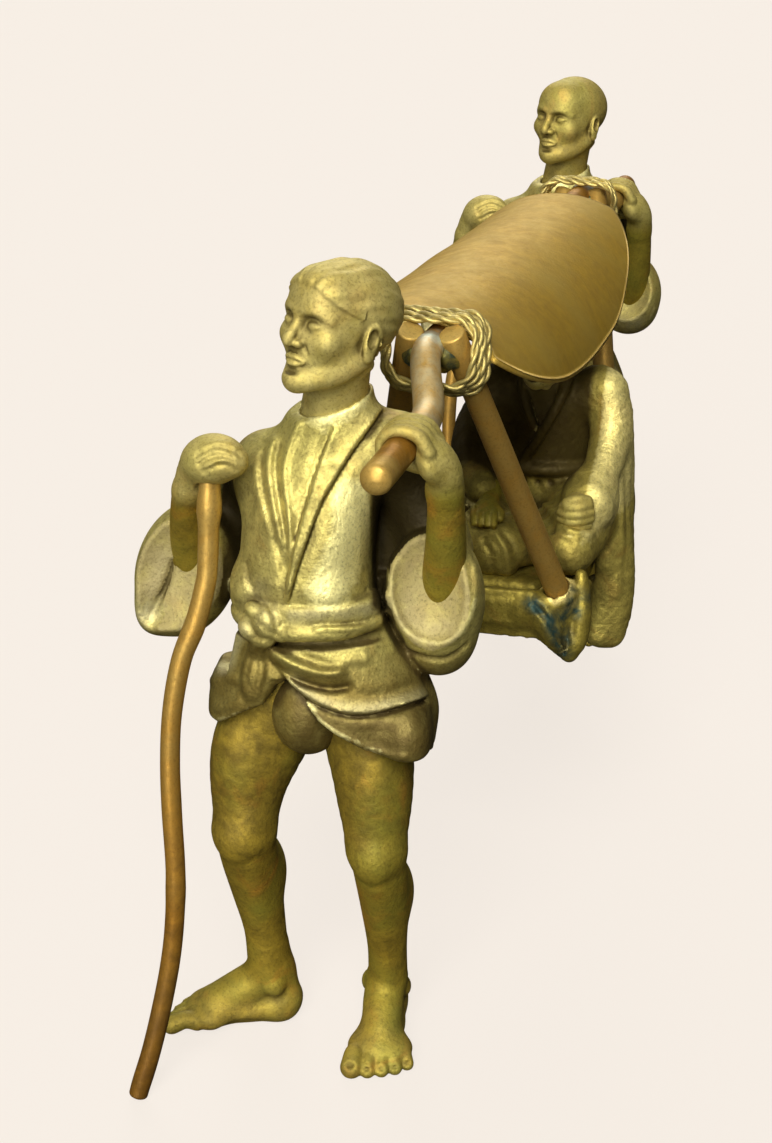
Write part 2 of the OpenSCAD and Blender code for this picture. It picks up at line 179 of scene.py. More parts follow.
def chain(pts, sub=4):
    """Rows x, y, z, radius to a bent rod of that radius."""
    q = curve(pts, sub) if sub > 1 else np.array(pts, float)
    return [cone(a[:3], max(a[3], 0.02), b[:3], max(b[3], 0.02)) for a, b in zip(q[:-1], q[1:])]


def loft(rows, power=2.0, grow=0.0, lo_z=None, hi_z=None):
    """Rows z, cx, cy, rx, ry: a body with oval sections."""
    q = curve(rows, 8)
    q = q[np.argsort(q[:, 0])]
    z0 = float(q[0, 0]) if lo_z is None else lo_z
    z1 = float(q[-1, 0]) if hi_z is None else hi_z
    lo = [(q[:, 1] - q[:, 3]).min() - grow, (q[:, 2] - q[:, 4]).min() - grow, z0]
    hi = [(q[:, 1] + q[:, 3]).max() + grow, (q[:, 2] + q[:, 4]).max() + grow, z1]

    def f(X, Y, Z):
        zz = Z.ravel()
        cx, cy, rx, ry = (np.interp(zz, q[:, 0], q[:, i]).astype(F32)[None, None, :] for i in (1, 2, 3, 4))
        rx, ry = rx + F32(grow), ry + F32(grow)
        x, y = (X - cx) / rx, (Y - cy) / ry
        if power == 2.0:
            k = np.sqrt(x * x + y * y)
        else:
            k = (np.abs(x) ** power + np.abs(y) ** power) ** (1 / power)
        g = np.sqrt((x / rx) ** 2 + (y / ry) ** 2) / np.maximum(np.sqrt(x * x + y * y), 1e-4)
        d = (k - 1.0) / np.maximum(g, 1e-4)
        return np.maximum(d, np.maximum(z0 - Z, Z - z1))

    return lo, hi, f


class Vol:
    def __init__(self, lo, hi, h):
        self.h = h = h * FINE
        self.lo = np.array(lo, float)
        self.n = np.ceil((np.array(hi, float) - self.lo) / h).astype(int) + 1
        self.D = np.full(tuple(self.n), 20.0, F32)
        self.ax = [(self.lo[i] + h * np.arange(self.n[i])).astype(F32) for i in range(3)]

    def part(self, lo, hi):
        i0 = np.maximum(np.floor((np.asarray(lo) - self.lo) / self.h).astype(int), 0)
        i1 = np.minimum(np.ceil((np.asarray(hi) - self.lo) / self.h).astype(int) + 1, self.n)
        if (i1 <= i0).any():
            return None
        sl = tuple(slice(int(a), int(b)) for a, b in zip(i0, i1))
        return sl, self.ax[0][sl[0]][:, None, None], self.ax[1][sl[1]][None, :, None], self.ax[2][sl[2]][None, None, :]

    def field(self, prims, pad):
        if isinstance(prims, tuple):
            prims = [prims]
        lo = np.min([p[0] for p in prims], axis=0) - pad
        hi = np.max([p[1] for p in prims], axis=0) + pad
        got = self.part(lo, hi)
        if got is None:
            return None
        sl = got[0]
        if len(prims) == 1:
            T = prims[0][2](*got[1:]).astype(F32)
            return sl, np.broadcast_to(T, tuple(s.stop - s.start for s in sl))
        T = np.full(tuple(s.stop - s.start for s in sl), 20.0, F32)
        for p in prims:
            g = self.part(np.asarray(p[0]) - pad, np.asarray(p[1]) + pad)
            if g is None:
                continue
            s2 = tuple(slice(b.start - a.start, b.stop - a.start) for a, b in zip(sl, g[0]))
            T[s2] = np.minimum(T[s2], p[2](*g[1:]).astype(F32))
        return sl, T

    def add(self, prims, k=0.0):
        got = self.field(prims, k + 3 * self.h + 1.0)
        if got:
            sl, T = got
            self.D[sl] = smin(self.D[sl], T, k)
        return self

    def cut(self, prims, k=0.0):
        got = self.field(prims, k + 3 * self.h)
        if got:
            sl, T = got
            self.D[sl] = -smin(-self.D[sl], T, k)
        return self

    def above(self, z, k=0.0):
        self.D = -smin(-self.D, (self.ax[2][None, None, :] - F32(z)) * np.ones_like(self.D), k)
        return self

    def push(self, lo, hi, f):
        """Adds f to the field in a box, to raise or sink the surface."""
        got = self.part(lo, hi)
        if got:
            sl, X, Y, Z = got
            self.D[sl] += f(X, Y, Z).astype(F32)
        return self

    def emboss(self, lo, hi, marks):
        """Folds drawn as runs in the photo's frame, raised or sunk on the face turned to it.
        A mark is run, height, width for a rounded ridge (sunk if negative), or
        run, height, width, groove, groove width, side for a lapped fold that is high on one side."""
        got = self.part(lo, hi)
        if not got:
            return self
        sl, X, Y, Z = got
        D = self.D[sl]
        i = np.nonzero(np.abs(D) < 4.0)
        P = np.stack([X.ravel()[i[0]], Y.ravel()[i[1]], Z.ravel()[i[2]]], 1)
        u, v = seen(P)
        up = np.zeros(len(P), F32)
        for pts, high, wide, *lap in marks:
            d, s, t = trail(u, v, pts)
            fade = np.clip(np.minimum(t, 1 - t) / 0.08, 0, 1) + 0.0
            if lap:
                g, gw, side = lap
                m = s * side > 0
                up += np.where(m, high * np.exp(-d / wide) * np.clip(d / 2.5 + 0.35, 0, 1), -g * np.exp(-((d / gw) ** 2))) * fade
            else:
                up += high * np.exp(-((d / wide) ** 2)) * fade
        D[i] -= up
        return self

    def at(self, P):
        g = (np.asarray(P, float) - self.lo) / self.h
        g = np.clip(g, 0, np.array(self.n) - 1.001)
        i = g.astype(int)
        t = (g - i).astype(F32)
        out = 0
        for a in (0, 1):
            for b in (0, 1):
                for c in (0, 1):
                    w = (t[:, 0] if a else 1 - t[:, 0]) * (t[:, 1] if b else 1 - t[:, 1]) * (t[:, 2] if c else 1 - t[:, 2])
                    out = out + w * self.D[i[:, 0] + a, i[:, 1] + b, i[:, 2] + c]
        return out

    def hit(self, u, v, sink=0.0):
        """Where the photo's line of sight through u, v first meets the surface."""
        d = sight(u, v)
        t = np.arange(280.0, 640.0, 0.15)
        P = CAM[None, :] + t[:, None] * d[None, :]
        ok = ((P >= self.lo) & (P <= self.lo + self.h * (self.n - 1))).all(1)
        P = P[ok]
        s = self.at(P) < 0
        if not s.any():
            return None
        return P[int(np.argmax(s))] + d * sink

    def line(self, uvr, sink=0.0, sub=4):
        """Rows u, v, radius on the surface to a bent rod; points off the surface are left out."""
        rows = []
        for u, v, r in uvr:
            p = self.hit(u, v, sink)
            if p is not None:
                rows.append([*p, r])
        return chain(rows, sub) if len(rows) > 1 else []

    def mesh(self, smooth=2):
        D, h = self.D, self.h
        S = D < 0
        n = np.zeros(tuple(self.n - 1), np.uint8)
        for a in (0, 1):
            for b in (0, 1):
                for c in (0, 1):
                    n += S[a : S.shape[0] - 1 + a, b : S.shape[1] - 1 + b, c : S.shape[2] - 1 + c]
        act = (n > 0) & (n < 8)
        ijk = np.argwhere(act)
        idx = np.full(act.shape, -1, np.int64)
        idx[act] = np.arange(len(ijk))
        acc = np.zeros((len(ijk), 3), F32)
        cnt = np.zeros(len(ijk), F32)
        cor = [(a, b, c) for a in (0, 1) for b in (0, 1) for c in (0, 1)]
        val = {c: D[ijk[:, 0] + c[0], ijk[:, 1] + c[1], ijk[:, 2] + c[2]] for c in cor}
        for a in cor:
            for ax in range(3):
                if a[ax]:
                    continue
                b = tuple(1 if i == ax else a[i] for i in range(3))
                da, db = val[a], val[b]
                m = (da < 0) != (db < 0)
                t = da[m] / (da[m] - db[m])
                p = np.tile(np.array(a, F32), (int(m.sum()), 1))
                p[:, ax] += t
                acc[m] += p
                cnt[m] += 1
        V = ijk + acc / cnt[:, None]
        Q = []
        for ax in range(3):
            u, w = [(1, 2), (2, 0), (0, 1)][ax]
            A = np.take(S, range(0, S.shape[ax] - 1), ax)
            B = np.take(S, range(1, S.shape[ax]), ax)
            e = np.argwhere(A != B)
            e = e[(e[:, u] > 0) & (e[:, w] > 0) & (e[:, u] < S.shape[u] - 1) & (e[:, w] < S.shape[w] - 1)]
            flip = S[e[:, 0], e[:, 1], e[:, 2]]

            def cell(du, dw):
                c = e.copy()
                c[:, u] += du
                c[:, w] += dw
                return idx[c[:, 0], c[:, 1], c[:, 2]]

            q = np.stack([cell(-1, -1), cell(0, -1), cell(0, 0), cell(-1, 0)], 1)
            q[~flip] = q[~flip][:, ::-1]
            Q.append(q)
        Q = np.concatenate(Q)
        V = V * h + self.lo
        E = np.concatenate([Q[:, [0, 1]], Q[:, [1, 2]], Q[:, [2, 3]], Q[:, [3, 0]]])
        deg = np.bincount(E.ravel(), minlength=len(V)).astype(float)

        def spread(W):
            out = np.empty_like(W)
            for i in range(W.shape[1]):
                out[:, i] = np.bincount(E[:, 0], W[E[:, 1], i], len(W)) + np.bincount(E[:, 1], W[E[:, 0], i], len(W))
            return out / np.maximum(deg, 1)[:, None]

        for _ in range(smooth):
            for lam in (0.5, -0.52):
                V = V + lam * (spread(V) - V)
        N = np.cross(V[Q[:, 2]] - V[Q[:, 0]], V[Q[:, 3]] - V[Q[:, 1]])
        VN = np.zeros_like(V)
        for i in range(3):
            for k in range(4):
                VN[:, i] += np.bincount(Q[:, k], N[:, i], len(V))
        VN /= np.maximum(np.linalg.norm(VN, axis=1), 1e-9)[:, None]
        dark_patina_and_shade = np.zeros(len(V))
        edge = np.zeros(len(V))
        for s, w in ((0.9, 0.4), (2.0, 0.35), (4.0, 0.25)):
            dark_patina_and_shade += w * (1 - np.clip(self.at(V + VN * s) / s, 0, 1))
        for s, w in ((0.7, 0.6), (1.5, 0.4)):
            edge += w * (1 - np.clip(-self.at(V - VN * s) / s, 0, 1))
        for _ in range(2):
            dark_patina_and_shade = 0.5 * dark_patina_and_shade + 0.5 * spread(dark_patina_and_shade[:, None])[:, 0]
            edge = 0.5 * edge + 0.5 * spread(edge[:, None])[:, 0]
        return V, Q, {"dark_patina_and_shade": dark_patina_and_shade, "edge": edge}


def made(name, V, Q, mat, attrs=None, move=(0, 0, 0), smooth=True):
    """A mesh piece from points in millimetres and four-sided faces."""
    V = (np.asarray(V, float) + np.array([OX, OY, 0.0]) + np.array(move, float)) / 1000.0
    Q = np.asarray(Q, np.int32)
    me = bpy.data.meshes.new(name)
    me.vertices.add(len(V))
    me.vertices.foreach_set("co", V.astype(F32).ravel())
    me.loops.add(Q.size)
    me.loops.foreach_set("vertex_index", Q.ravel())
    me.polygons.add(len(Q))
    me.polygons.foreach_set("loop_start", np.arange(0, Q.size, Q.shape[1], dtype=np.int32))
    me.update(calc_edges=True)
    me.validate()
    me.polygons.foreach_set("use_smooth", np.full(len(me.polygons), smooth))
    for k, a in (attrs or {}).items():
        at = me.attributes.new(k, "FLOAT", "POINT")
        at.data.foreach_set("value", np.asarray(a, F32))
    me.materials.append(mat)
    o = bpy.data.objects.new(name, me)
    bpy.context.scene.collection.objects.link(o)
    return o


def tube(rows, sides=20, up=(0, 0, 1), cap=0.6):
    """Rows x, y, z, radius to a closed round rod with rounded ends."""
    q = np.array(rows, float)
    P, r = q[:, :3], q[:, 3]
    T = np.gradient(P, axis=0)
    T /= np.linalg.norm(T, axis=1)[:, None]
    ref = np.array(up, float)
    rings = []
    a_prev = None
    for i in range(len(P)):
        a = np.cross(ref, T[i]) if a_prev is None else a_prev - T[i] * (a_prev @ T[i])
        a /= np.linalg.norm(a)
        a_prev = a
        b = np.cross(T[i], a)
        rings.append((P[i], a, b, r[i], T[i]))
    out = []

    def ring(c, a, b, rr):
        t = np.arange(sides) * 2 * math.pi / sides
        out.append(c[None] + rr * (np.cos(t)[:, None] * a[None] + np.sin(t)[:, None] * b[None]))

    c, a, b, rr, t = rings[0]
    for k in (0.06, 0.4, 0.75, 0.93):
        ring(c - t * cap * rr * math.sqrt(1 - k * k), a, b, rr * k)
    for c, a, b, rr, t in rings:
        ring(c, a, b, rr)
    c, a, b, rr, t = rings[-1]
    for k in (0.93, 0.75, 0.4, 0.06):
        ring(c + t * cap * rr * math.sqrt(1 - k * k), a, b, rr * k)
    V = np.concatenate(out)
    m = len(out)
    Q = []
    j = np.arange(sides)
    for i in range(m - 1):
        Q.append(np.stack([i * sides + j, i * sides + (j + 1) % sides, (i + 1) * sides + (j + 1) % sides, (i + 1) * sides + j], 1))
    Q = np.concatenate(Q)
    h = sides // 2
    for base, turn in ((0, -1), ((m - 1) * sides, 1)):
        for k in range(h - 1):
            f = [base + k, base + k + 1, base + sides - 2 - k, base + sides - 1 - k]
            Q = np.vstack([Q, f[::turn]])
    return V, Q


def joined(parts):
    Vs, Qs, n = [], [], 0
    for V, Q in parts:
        Vs.append(V)
        Qs.append(Q + n)
        n += len(V)
    return np.concatenate(Vs), np.concatenate(Qs)


# ---------------------------------------------------------------- materials
def patina(name, base, dark, bright, green, rough=0.42, metal=0.85, mott=0.55, grain=0.25, verd=None, wear=0.8, stain=None, dust=None, olive=None, pale=None, fine=900.0, speck=0.5, painted_shade=None):
    """Aged bronze: a mottled ground, dark hollows, bright wear on corners and ridges, some green, a fine cast grain;
    the dark mix also lays painted shade, the bright mix painted highlights, and a near-black mix more painted shade.
    """
    m = bpy.data.materials.new(name)
    m.use_nodes = True
    nt = m.node_tree
    nd, ln = nt.nodes, nt.links
    bs = nd["Principled BSDF"]
    bs.inputs["Base Color"].default_value = (*base, 1)
    bs.inputs["Metallic"].default_value = metal
    bs.inputs["Roughness"].default_value = rough
    bs.inputs["Specular IOR Level"].default_value = 0.22
    co = nd.new("ShaderNodeTexCoord")

    def noise(scale, detail=4.0, rough_=0.55, dist=0.0):
        n = nd.new("ShaderNodeTexNoise")
        n.inputs["Scale"].default_value = scale
        n.inputs["Detail"].default_value = detail
        n.inputs["Roughness"].default_value = rough_
        n.inputs["Distortion"].default_value = dist
        ln.new(co.outputs["Object"], n.inputs["Vector"])
        return n.outputs["Fac"]

    def ramp(src, a, b, lo=0.0, hi=1.0):
        r = nd.new("ShaderNodeMapRange")
        r.inputs["From Min"].default_value = a
        r.inputs["From Max"].default_value = b
        r.inputs["To Min"].default_value = lo
        r.inputs["To Max"].default_value = hi
        ln.new(src, r.inputs["Value"])
        return r.outputs["Result"]

    def math2(op, a, b):
        n = nd.new("ShaderNodeMath")
        n.operation = op
        n.use_clamp = op != "MULTIPLY_ADD"
        for s, x in zip(n.inputs, (a, b)):
            if isinstance(x, (int, float)):
                s.default_value = x
            else:
                ln.new(x, s)
        return n.outputs[0]

    def blend(fac, a, b):
        n = nd.new("ShaderNodeMix")
        n.data_type = "RGBA"
        ln.new(fac, n.inputs[0])
        for s, x in ((n.inputs[6], a), (n.inputs[7], b)):
            if isinstance(x, tuple):
                s.default_value = (*x, 1)
            else:
                ln.new(x, s)
        return n.outputs[2]

    def attr(key):
        n = nd.new("ShaderNodeAttribute")
        n.attribute_name = key
        return n.outputs["Fac"]

    big, mid, small = noise(70, 3), noise(320, 5, 0.6, 0.4), noise(fine, 3, 0.6)
    col = blend(ramp(mid, 0.36, 0.68), base, tuple(0.45 * b + 0.55 * d for b, d in zip(base, dark)))
    col = blend(math2("MULTIPLY", ramp(big, 0.42, 0.72), mott), col, green)
    if stain:
        col = blend(math2("MULTIPLY", ramp(noise(95, 4, 0.6, 0.8), 0.55, 0.72), 0.75), col, stain)
    if olive:
        col = blend(math2("MULTIPLY", attr("olive"), ramp(mid, 0.25, 0.6, 0.7, 1.0)), col, olive)
    if pale:
        col = blend(math2("MULTIPLY", attr("pale"), ramp(mid, 0.25, 0.6, 0.6, 1.0)), col, pale)
    dark_patina_and_shade = attr("dark_patina_and_shade")
    edge = attr("edge")
    col = blend(math2("MULTIPLY", ramp(math2("ADD", dark_patina_and_shade, math2("MULTIPLY", ramp(mid, 0.3, 0.7), 0.12)), 0.18, 0.62), 0.9), col, dark)
    lift = math2("MULTIPLY", ramp(math2("ADD", edge, math2("MULTIPLY", ramp(small, 0.3, 0.7), 0.18)), 0.52, 0.86), wear)
    col = blend(lift, col, bright)
    if dust:
        col = blend(math2("MULTIPLY", attr("dust"), ramp(mid, 0.25, 0.6, 0.45, 1.0)), col, dust)
    # fine dark speckle of the cast skin
    col = blend(math2("MULTIPLY", ramp(noise(1900, 3, 0.65), 0.50, 0.74), speck), col, dark)
    # painted shade: near-black mixed in where the attribute asks for it
    if painted_shade:
        col = blend(math2("MULTIPLY", attr("painted_shade"), 0.94), col, painted_shade)
    if verd:
        col = blend(math2("MULTIPLY", attr("verd"), ramp(mid, 0.3, 0.62)), col, verd)
    ln.new(col, bs.inputs["Base Color"])
    ro = ramp(math2("ADD", math2("MULTIPLY", mid, 0.6), math2("MULTIPLY", small, 0.4)), 0.25, 0.75, rough - 0.1, rough + 0.14)
    if dust:
        ro = math2("ADD", ro, math2("MULTIPLY", attr("dust"), 0.16))
    ln.new(ro, bs.inputs["Roughness"])
    me = ramp(math2("ADD", dark_patina_and_shade, math2("MULTIPLY", big, 0.3)), 0.1, 0.7, metal, metal - 0.30)
    if dust:
        me = math2("SUBTRACT", me, math2("MULTIPLY", attr("dust"), 0.4))
    ln.new(me, bs.inputs["Metallic"])
    b1 = nd.new("ShaderNodeBump")
    b1.inputs["Strength"].default_value = grain
    b1.inputs["Distance"].default_value = 0.0004
    ln.new(small, b1.inputs["Height"])
    b2 = nd.new("ShaderNodeBump")
    b2.inputs["Strength"].default_value = grain * 0.8
    b2.inputs["Distance"].default_value = 0.0009
    ln.new(mid, b2.inputs["Height"])
    ln.new(b1.outputs["Normal"], b2.inputs["Normal"])
    ln.new(b2.outputs["Normal"], bs.inputs["Normal"])
    return m


ROBE = patina("robe_patina", (0.55, 0.465, 0.140), (0.055, 0.035, 0.008), (0.92, 0.84, 0.36), (0.42, 0.37, 0.095), rough=0.53, metal=0.70, mott=0.7, grain=0.42, stain=(0.38, 0.25, 0.06), dust=(0.35, 0.285, 0.125), olive=(0.185, 0.135, 0.030), pale=(0.52, 0.47, 0.26), painted_shade=(0.012, 0.008, 0.002))
GOWN = patina("gown_patina", (0.48, 0.385, 0.085), (0.05, 0.032, 0.007), (0.80, 0.69, 0.27), (0.33, 0.28, 0.060), rough=0.52, metal=0.70, mott=0.7, grain=0.42, stain=(0.36, 0.22, 0.045), dust=(0.42, 0.37, 0.20), olive=(0.20, 0.145, 0.028), pale=(0.50, 0.46, 0.28))
SKIN = patina("skin_patina", (0.365, 0.255, 0.029), (0.06, 0.040, 0.006), (0.64, 0.52, 0.15), (0.26, 0.232, 0.028), rough=0.60, metal=0.62, mott=0.9, grain=0.34, stain=(0.43, 0.215, 0.026), pale=(0.58, 0.485, 0.17), wear=0.5)
ROD = patina("rod_patina", (0.39, 0.185, 0.020), (0.09, 0.042, 0.007), (0.56, 0.37, 0.12), (0.29, 0.165, 0.028), rough=0.46, metal=0.62, mott=0.6, grain=0.18, pale=(0.57, 0.385, 0.10), verd=(0.58, 0.66, 0.56), speck=0.35)
ROPE = patina("rope_patina", (0.58, 0.465, 0.155), (0.08, 0.052, 0.013), (0.82, 0.70, 0.31), (0.47, 0.385, 0.12), rough=0.46, metal=0.66, grain=0.2)
ROOF = patina("roof_patina", (0.42, 0.262, 0.024), (0.22, 0.130, 0.024), (0.52, 0.37, 0.11), (0.365, 0.25, 0.042), rough=0.54, metal=0.58, mott=0.7, grain=0.14, fine=1300.0, speck=0.3)
SEAT = patina("seat_patina", (0.32, 0.25, 0.040), (0.05, 0.034, 0.007), (0.68, 0.55, 0.19), (0.24, 0.195, 0.035), rough=0.47, metal=0.68, grain=0.32, stain=(0.30, 0.18, 0.033), verd=(0.018, 0.040, 0.033))
PIN = patina("pin_patina", (0.40, 0.29, 0.10), (0.2, 0.14, 0.05), (0.6, 0.45, 0.2), (0.34, 0.28, 0.10), rough=0.5, metal=0.6)


def piece(o, body, slot, *nodes):
    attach(o, body)
    if nodes:
        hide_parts(*nodes)
    return o


# ---------------------------------------------------------------- bearer: robe
BELT = [[-5.7 + 14.1 * math.cos(t), -0.6 + 11.5 * math.sin(t), 98.3 + 0.3 * math.sin(2 * t + 0.6) + 1.0 * math.cos(t)] for t in np.linspace(0, 2 * math.pi, 49)]


def wrap(up, half, thick, rnd):
    """A flat wrap of cloth round the waist, a height above the belt line."""

    def f(X, Y, Z):
        x, y = (X + 5.7) / 14.1, (Y + 0.6) / 11.5
        t = np.arctan2(y, x)
        dr = np.abs(np.sqrt(x * x + y * y) - 1.0) * 12.6 - (thick - rnd)
        dz = np.abs(Z - (98.3 + up + 0.3 * np.sin(2 * t + 0.6) + 1.0 * np.cos(t))) - (half - rnd)
        return np.sqrt(np.maximum(dr, 0) ** 2 + np.maximum(dz, 0) ** 2) + np.minimum(np.maximum(dr, dz), 0) - rnd

    return (-22, -14.5, 92), (11, 13.5, 106), f


def robe(rear=False):
    v = Vol((-47, -21, 63), (32, 20, 143.5), 0.40)
    v.add(loft([(88, -5, 0.2, 16.0, 11.6), (95, -5.2, -0.4, 14.4, 10.8), (99, -6.2, -0.8, 13.5, 11.5), (104, -6.9, -1.0, 12.7, 12.0),
                (110, -6.7, -0.8, 12.4, 11.6), (117, -6.1, -0.2, 12.6, 10.9), (122, -5.3, 0.7, 12.8, 9.9), (126, -4.4, 1.5, 11.8, 8.9),
                (129, -3.7, 2.1, 10.2, 8.1), (132, -3.2, 2.3, 8.9, 7.5), (135, -2.8, 2.3, 8.0, 7.1), (138, -2.5, 2.2, 7.4, 6.8), (143, -2.4, 2.0, 7.0, 6.6)]))
    v.add(ell((-15.5, 3.5, 121.5), (7.0, 7.2, 7.4)), 5)
    v.add(ell((8.2, 4.4, 127.9), (6.8, 7.2, 6.6)), 5)
    # skirt, open below
    v.add(loft([(63, -5, 0.5, 21.0, 13.4), (70, -5, 0.1, 22.4, 13.8), (78, -5, 0.1, 22.2, 13.8), (85, -5, 0.4, 19.8, 13.2), (91, -5, 0, 17.0, 11.9),
                (96, -5.2, -0.4, 14.8, 11.0), (98, -5.4, -0.5, 14.2, 10.8)], 2.3), 1.2)
    v.add(ell((13.0, -6.0, 75.0), (5.0, 6.5, 7.0), rot(z=35)), 3)
    # right hip: hollow below the belt, over a squared roll of cloth
    v.cut(block((-37.4, 0, 75), (11, 30, 14.5), 1.0), 2.2)
    v.cut(block((-29.9, -5.0, 92.4), (10.2, 22, 8.4), 1.6, rot(y=7)), 1.0)
    # pleats round the sides and back
    v.push((-32, -3, 60), (24, 18, 93), lambda X, Y, Z: 0.55 * np.sin(13 * np.arctan2(Y, X + 5) + 0.10 * Z + 0.6 * np.sin(0.25 * Z)) * np.clip((92 - Z) / 16, 0, 1) * np.clip((Y + 3) / 5, 0, 1))
    # hem line of the front, then the folds of the skirt
    hem = [v.hit(u, w) for u, w in ((209, 716), (218, 724), (241, 714), (263, 705), (271, 668), (281, 677), (303, 703), (317, 721), (335, 735), (365, 751), (395, 762), (411, 764))]
    hem = [p for p in hem if p is not None]
    hx = np.array([p[0] for p in hem])
    hz = np.array([p[2] for p in hem])
    o = np.argsort(hx)
    hx, hz = hx[o], hz[o]
    v.emboss((-32, -20, 62), (24, -1, 97), [
        ([(264, 646), (285, 660), (305, 669), (326, 674), (348, 671)], 2.0, 6.5),
        ([(270, 661), (290, 676), (312, 685), (335, 689), (356, 684)], -1.5, 4.4),
        ([(300, 648), (325, 657), (348, 661), (372, 659)], 0.5, 5.0),
        ([(266, 652), (284, 677), (305, 697), (326, 708), (347, 714), (371, 714), (395, 708), (422, 699), (438, 692)], 1.5, 22.0, 1.1, 5.0, -1),
        ([(300, 712), (330, 731), (365, 747), (396, 757), (414, 758)], 0.45, 4.0),
        ([(345, 692), (372, 696), (398, 690), (420, 680)], -0.4, 5.0),
        ([(208, 682), (220, 678), (234, 679), (247, 686)], 0.5, 4.5),
        ([(212, 708), (226, 707), (242, 699)], 0.4, 4.0),
    ])

    def below(X, Y, Z):
        front = np.interp(X.ravel(), hx, hz).astype(F32)[:, None, None]
        back = 67.2 + 0.7 * np.sin(0.45 * X)
        w = np.clip((4.0 - Y) / 9.0, 0, 1)
        w = w * w * (3 - 2 * w)
        return (Z - (front * w + back * (1 - w))) * 0.75

    v.cut(((-32, -20, 60), (24, 18, 84), below), 0.9)
    v.cut(loft([(58, -5, 0.5, 19.4, 11.6), (70, -5, 0.5, 20.4, 12.2), (78, -5, 0.6, 19.8, 12.0), (84, -5, 0.5, 16, 9.5), (87, -5, 0.5, 9, 5)], 2.3), 1.0)
    # loincloth
    v.add(ell((-6.0, -3.6, 77.2), (7.2, 8.6, 9.0)), 0.7)
    v.add(ell((-5.0, 2.5, 74.0), (6.0, 8.0, 6.4)), 1.5)
    v.cut(chain([(-13.0, -9.5, 80, 0.4), (-10.6, -10.6, 74, 0.6), (-7.5, -8.5, 69.4, 0.5)]), 0.8)
    # chest: bloused cloth over the belt, and the side under the left arm
    v.add(ell((-15.9, -4.0, 102.2), (4.5, 6.8, 4.8)), 2.5)
    v.add(ell((-0.4, -4.8, 103.6), (5.2, 7.0, 4.0)), 3)
    v.add(ell((7.6, 8.6, 109), (6.0, 3.6, 15)), 2.5)
    # belt: a flat upper wrap and a fuller lower roll with a sharp hollow under it
    v.cut(chain([(-5.1 + 15.7 * math.cos(t), -0.1 + 11.5 * math.sin(t), 94.2 + 1.0 * math.cos(t), 0.95) for t in np.linspace(0, 2 * math.pi, 49)], 1), 0.8)
    v.add(wrap(1.9, 1.9, 1.7, 0.9), 0.5)
    v.add(chain([(x + 0.01 * (x + 5.7), y * 1.06, z - 1.3, 1.75 + 0.12 * math.sin(0.7 * x)) for x, y, z in BELT], 1), 0.5)
    # chest folds, lapels and belt edges
    v.emboss((-25, -18, 92), (12, 3, 142), [
        ([(386, 404), (373, 424), (352, 453), (336, 479), (322, 503), (307, 543), (296, 575), (288, 607)], 1.3, 20.0, 0.6, 6.5, 1),
        ([(334, 424), (326, 444), (316, 471), (308, 497), (301, 520), (293, 552), (287, 580), (284, 604)], 1.0, 14.0, 0.7, 6.5, -1),
        ([(304, 412), (294, 432), (286, 455), (283, 477), (287, 508), (290, 540), (288, 568)], 0.85, 4.6),
        ([(284, 438), (277, 458), (278, 482), (281, 506), (286, 540), (286, 572)], -0.65, 3.4),
        ([(276, 432), (269, 452), (267, 474), (273, 512), (281, 548)], 0.75, 4.4),
        ([(266, 444), (262, 462), (263, 482), (269, 512), (279, 550), (284, 578)], -0.6, 3.4),
        ([(254, 462), (256, 486), (263, 512), (272, 540)], 0.4, 4.4),
        ([(247, 560), (249, 580), (256, 592)], -0.5, 3.4),
        ([(312, 630), (326, 628.5), (345, 629), (366, 628)], 0.5, 3.0),
        ([(308, 625), (325, 623.5), (345, 623.5), (366, 622)], -0.25, 2.8),
    ])
    v.push((-8, -20, 96), (12, -2, 130), lambda X, Y, Z: -1.3 * np.exp(-(((X - 2.6) / 4.6) ** 2) - ((Z - 112.5) / 7.0) ** 2) * np.clip((-2.5 - Y) / 4, 0, 1))
    # knot with two loops and a hanging tail
    k = v.hit(266, 624, 0.5)
    v.add(ell(k + np.array([0.5, -0.2, 0.6]), (3.0, 2.7, 3.3), rot(y=-25)), 0.35)
    v.add(ell(k + np.array([-3.0, 0.2, -1.5]), (2.7, 2.2, 2.0), rot(y=38)), 0.3)
    v.add(ell(k + np.array([-1.9, 0.2, 2.5]), (2.3, 2.0, 1.5), rot(y=20)), 0.3)
    v.add(ell(k + np.array([3.2, 0.3, -1.6]), (2.3, 2.0, 1.6), rot(y=-15)), 0.3)
    v.add(ell(k + np.array([0.0, -0.1, -3.0]), (1.9, 1.9, 1.7)), 0.4)
    v.add(ell(k + np.array([-2.7, 0.5, 0.6]), (2.0, 1.6, 1.7)), 0.5)
    v.emboss((-20, -18, 90), (0, -6, 106), [
        ([(255, 620), (261, 624), (268, 631), (280, 634)], -0.35, 2.4),
        ([(268, 606), (274, 617), (276, 630)], -0.45, 2.2),
    ])
    t = v.hit(259, 676, 0.2)
    v.add(v.line([(259, 640, 1.5), (261, 655, 2.7), (260, 671, 3.5), (257, 686, 3.0), (253, 700, 1.1)], 1.7), 0.7)
    spur = v.hit(276, 672, 0.7)
    v.add(ell(spur, (2.3, 1.5, 2.3)), 0.9)
    v.emboss((-22, -20, 76), (-4, -6, 97), [
        ([(258, 646), (256, 668), (251, 698)], -0.4, 2.8),
        ([(264, 650), (268, 672), (261, 694)], -0.3, 2.6),
        ([(253, 652), (247, 674), (249, 692)], -0.3, 2.6),
    ])
    # back: centre seam fold and a few long folds
    for x0, x1, w in ((-5, -5, 0.9), (-11.5, -13, 1.2), (1, 2.5, 1.2), (-15.5, -17, 1.0), (-8.4, -9.0, 0.8), (-1.8, -1.2, 0.8)):
        v.push((-22, 5, 100), (8, 16, 130), lambda X, Y, Z, a=x0, b=x1, w=w: 0.5 * np.exp(-(((X - a - (b - a) * (128 - Z) / 25) / w) ** 2)) * np.clip((129 - Z) / 9, 0, 1) * np.clip((Z - 100) / 7, 0, 1) * np.clip((Y - 5) / 2, 0, 1))
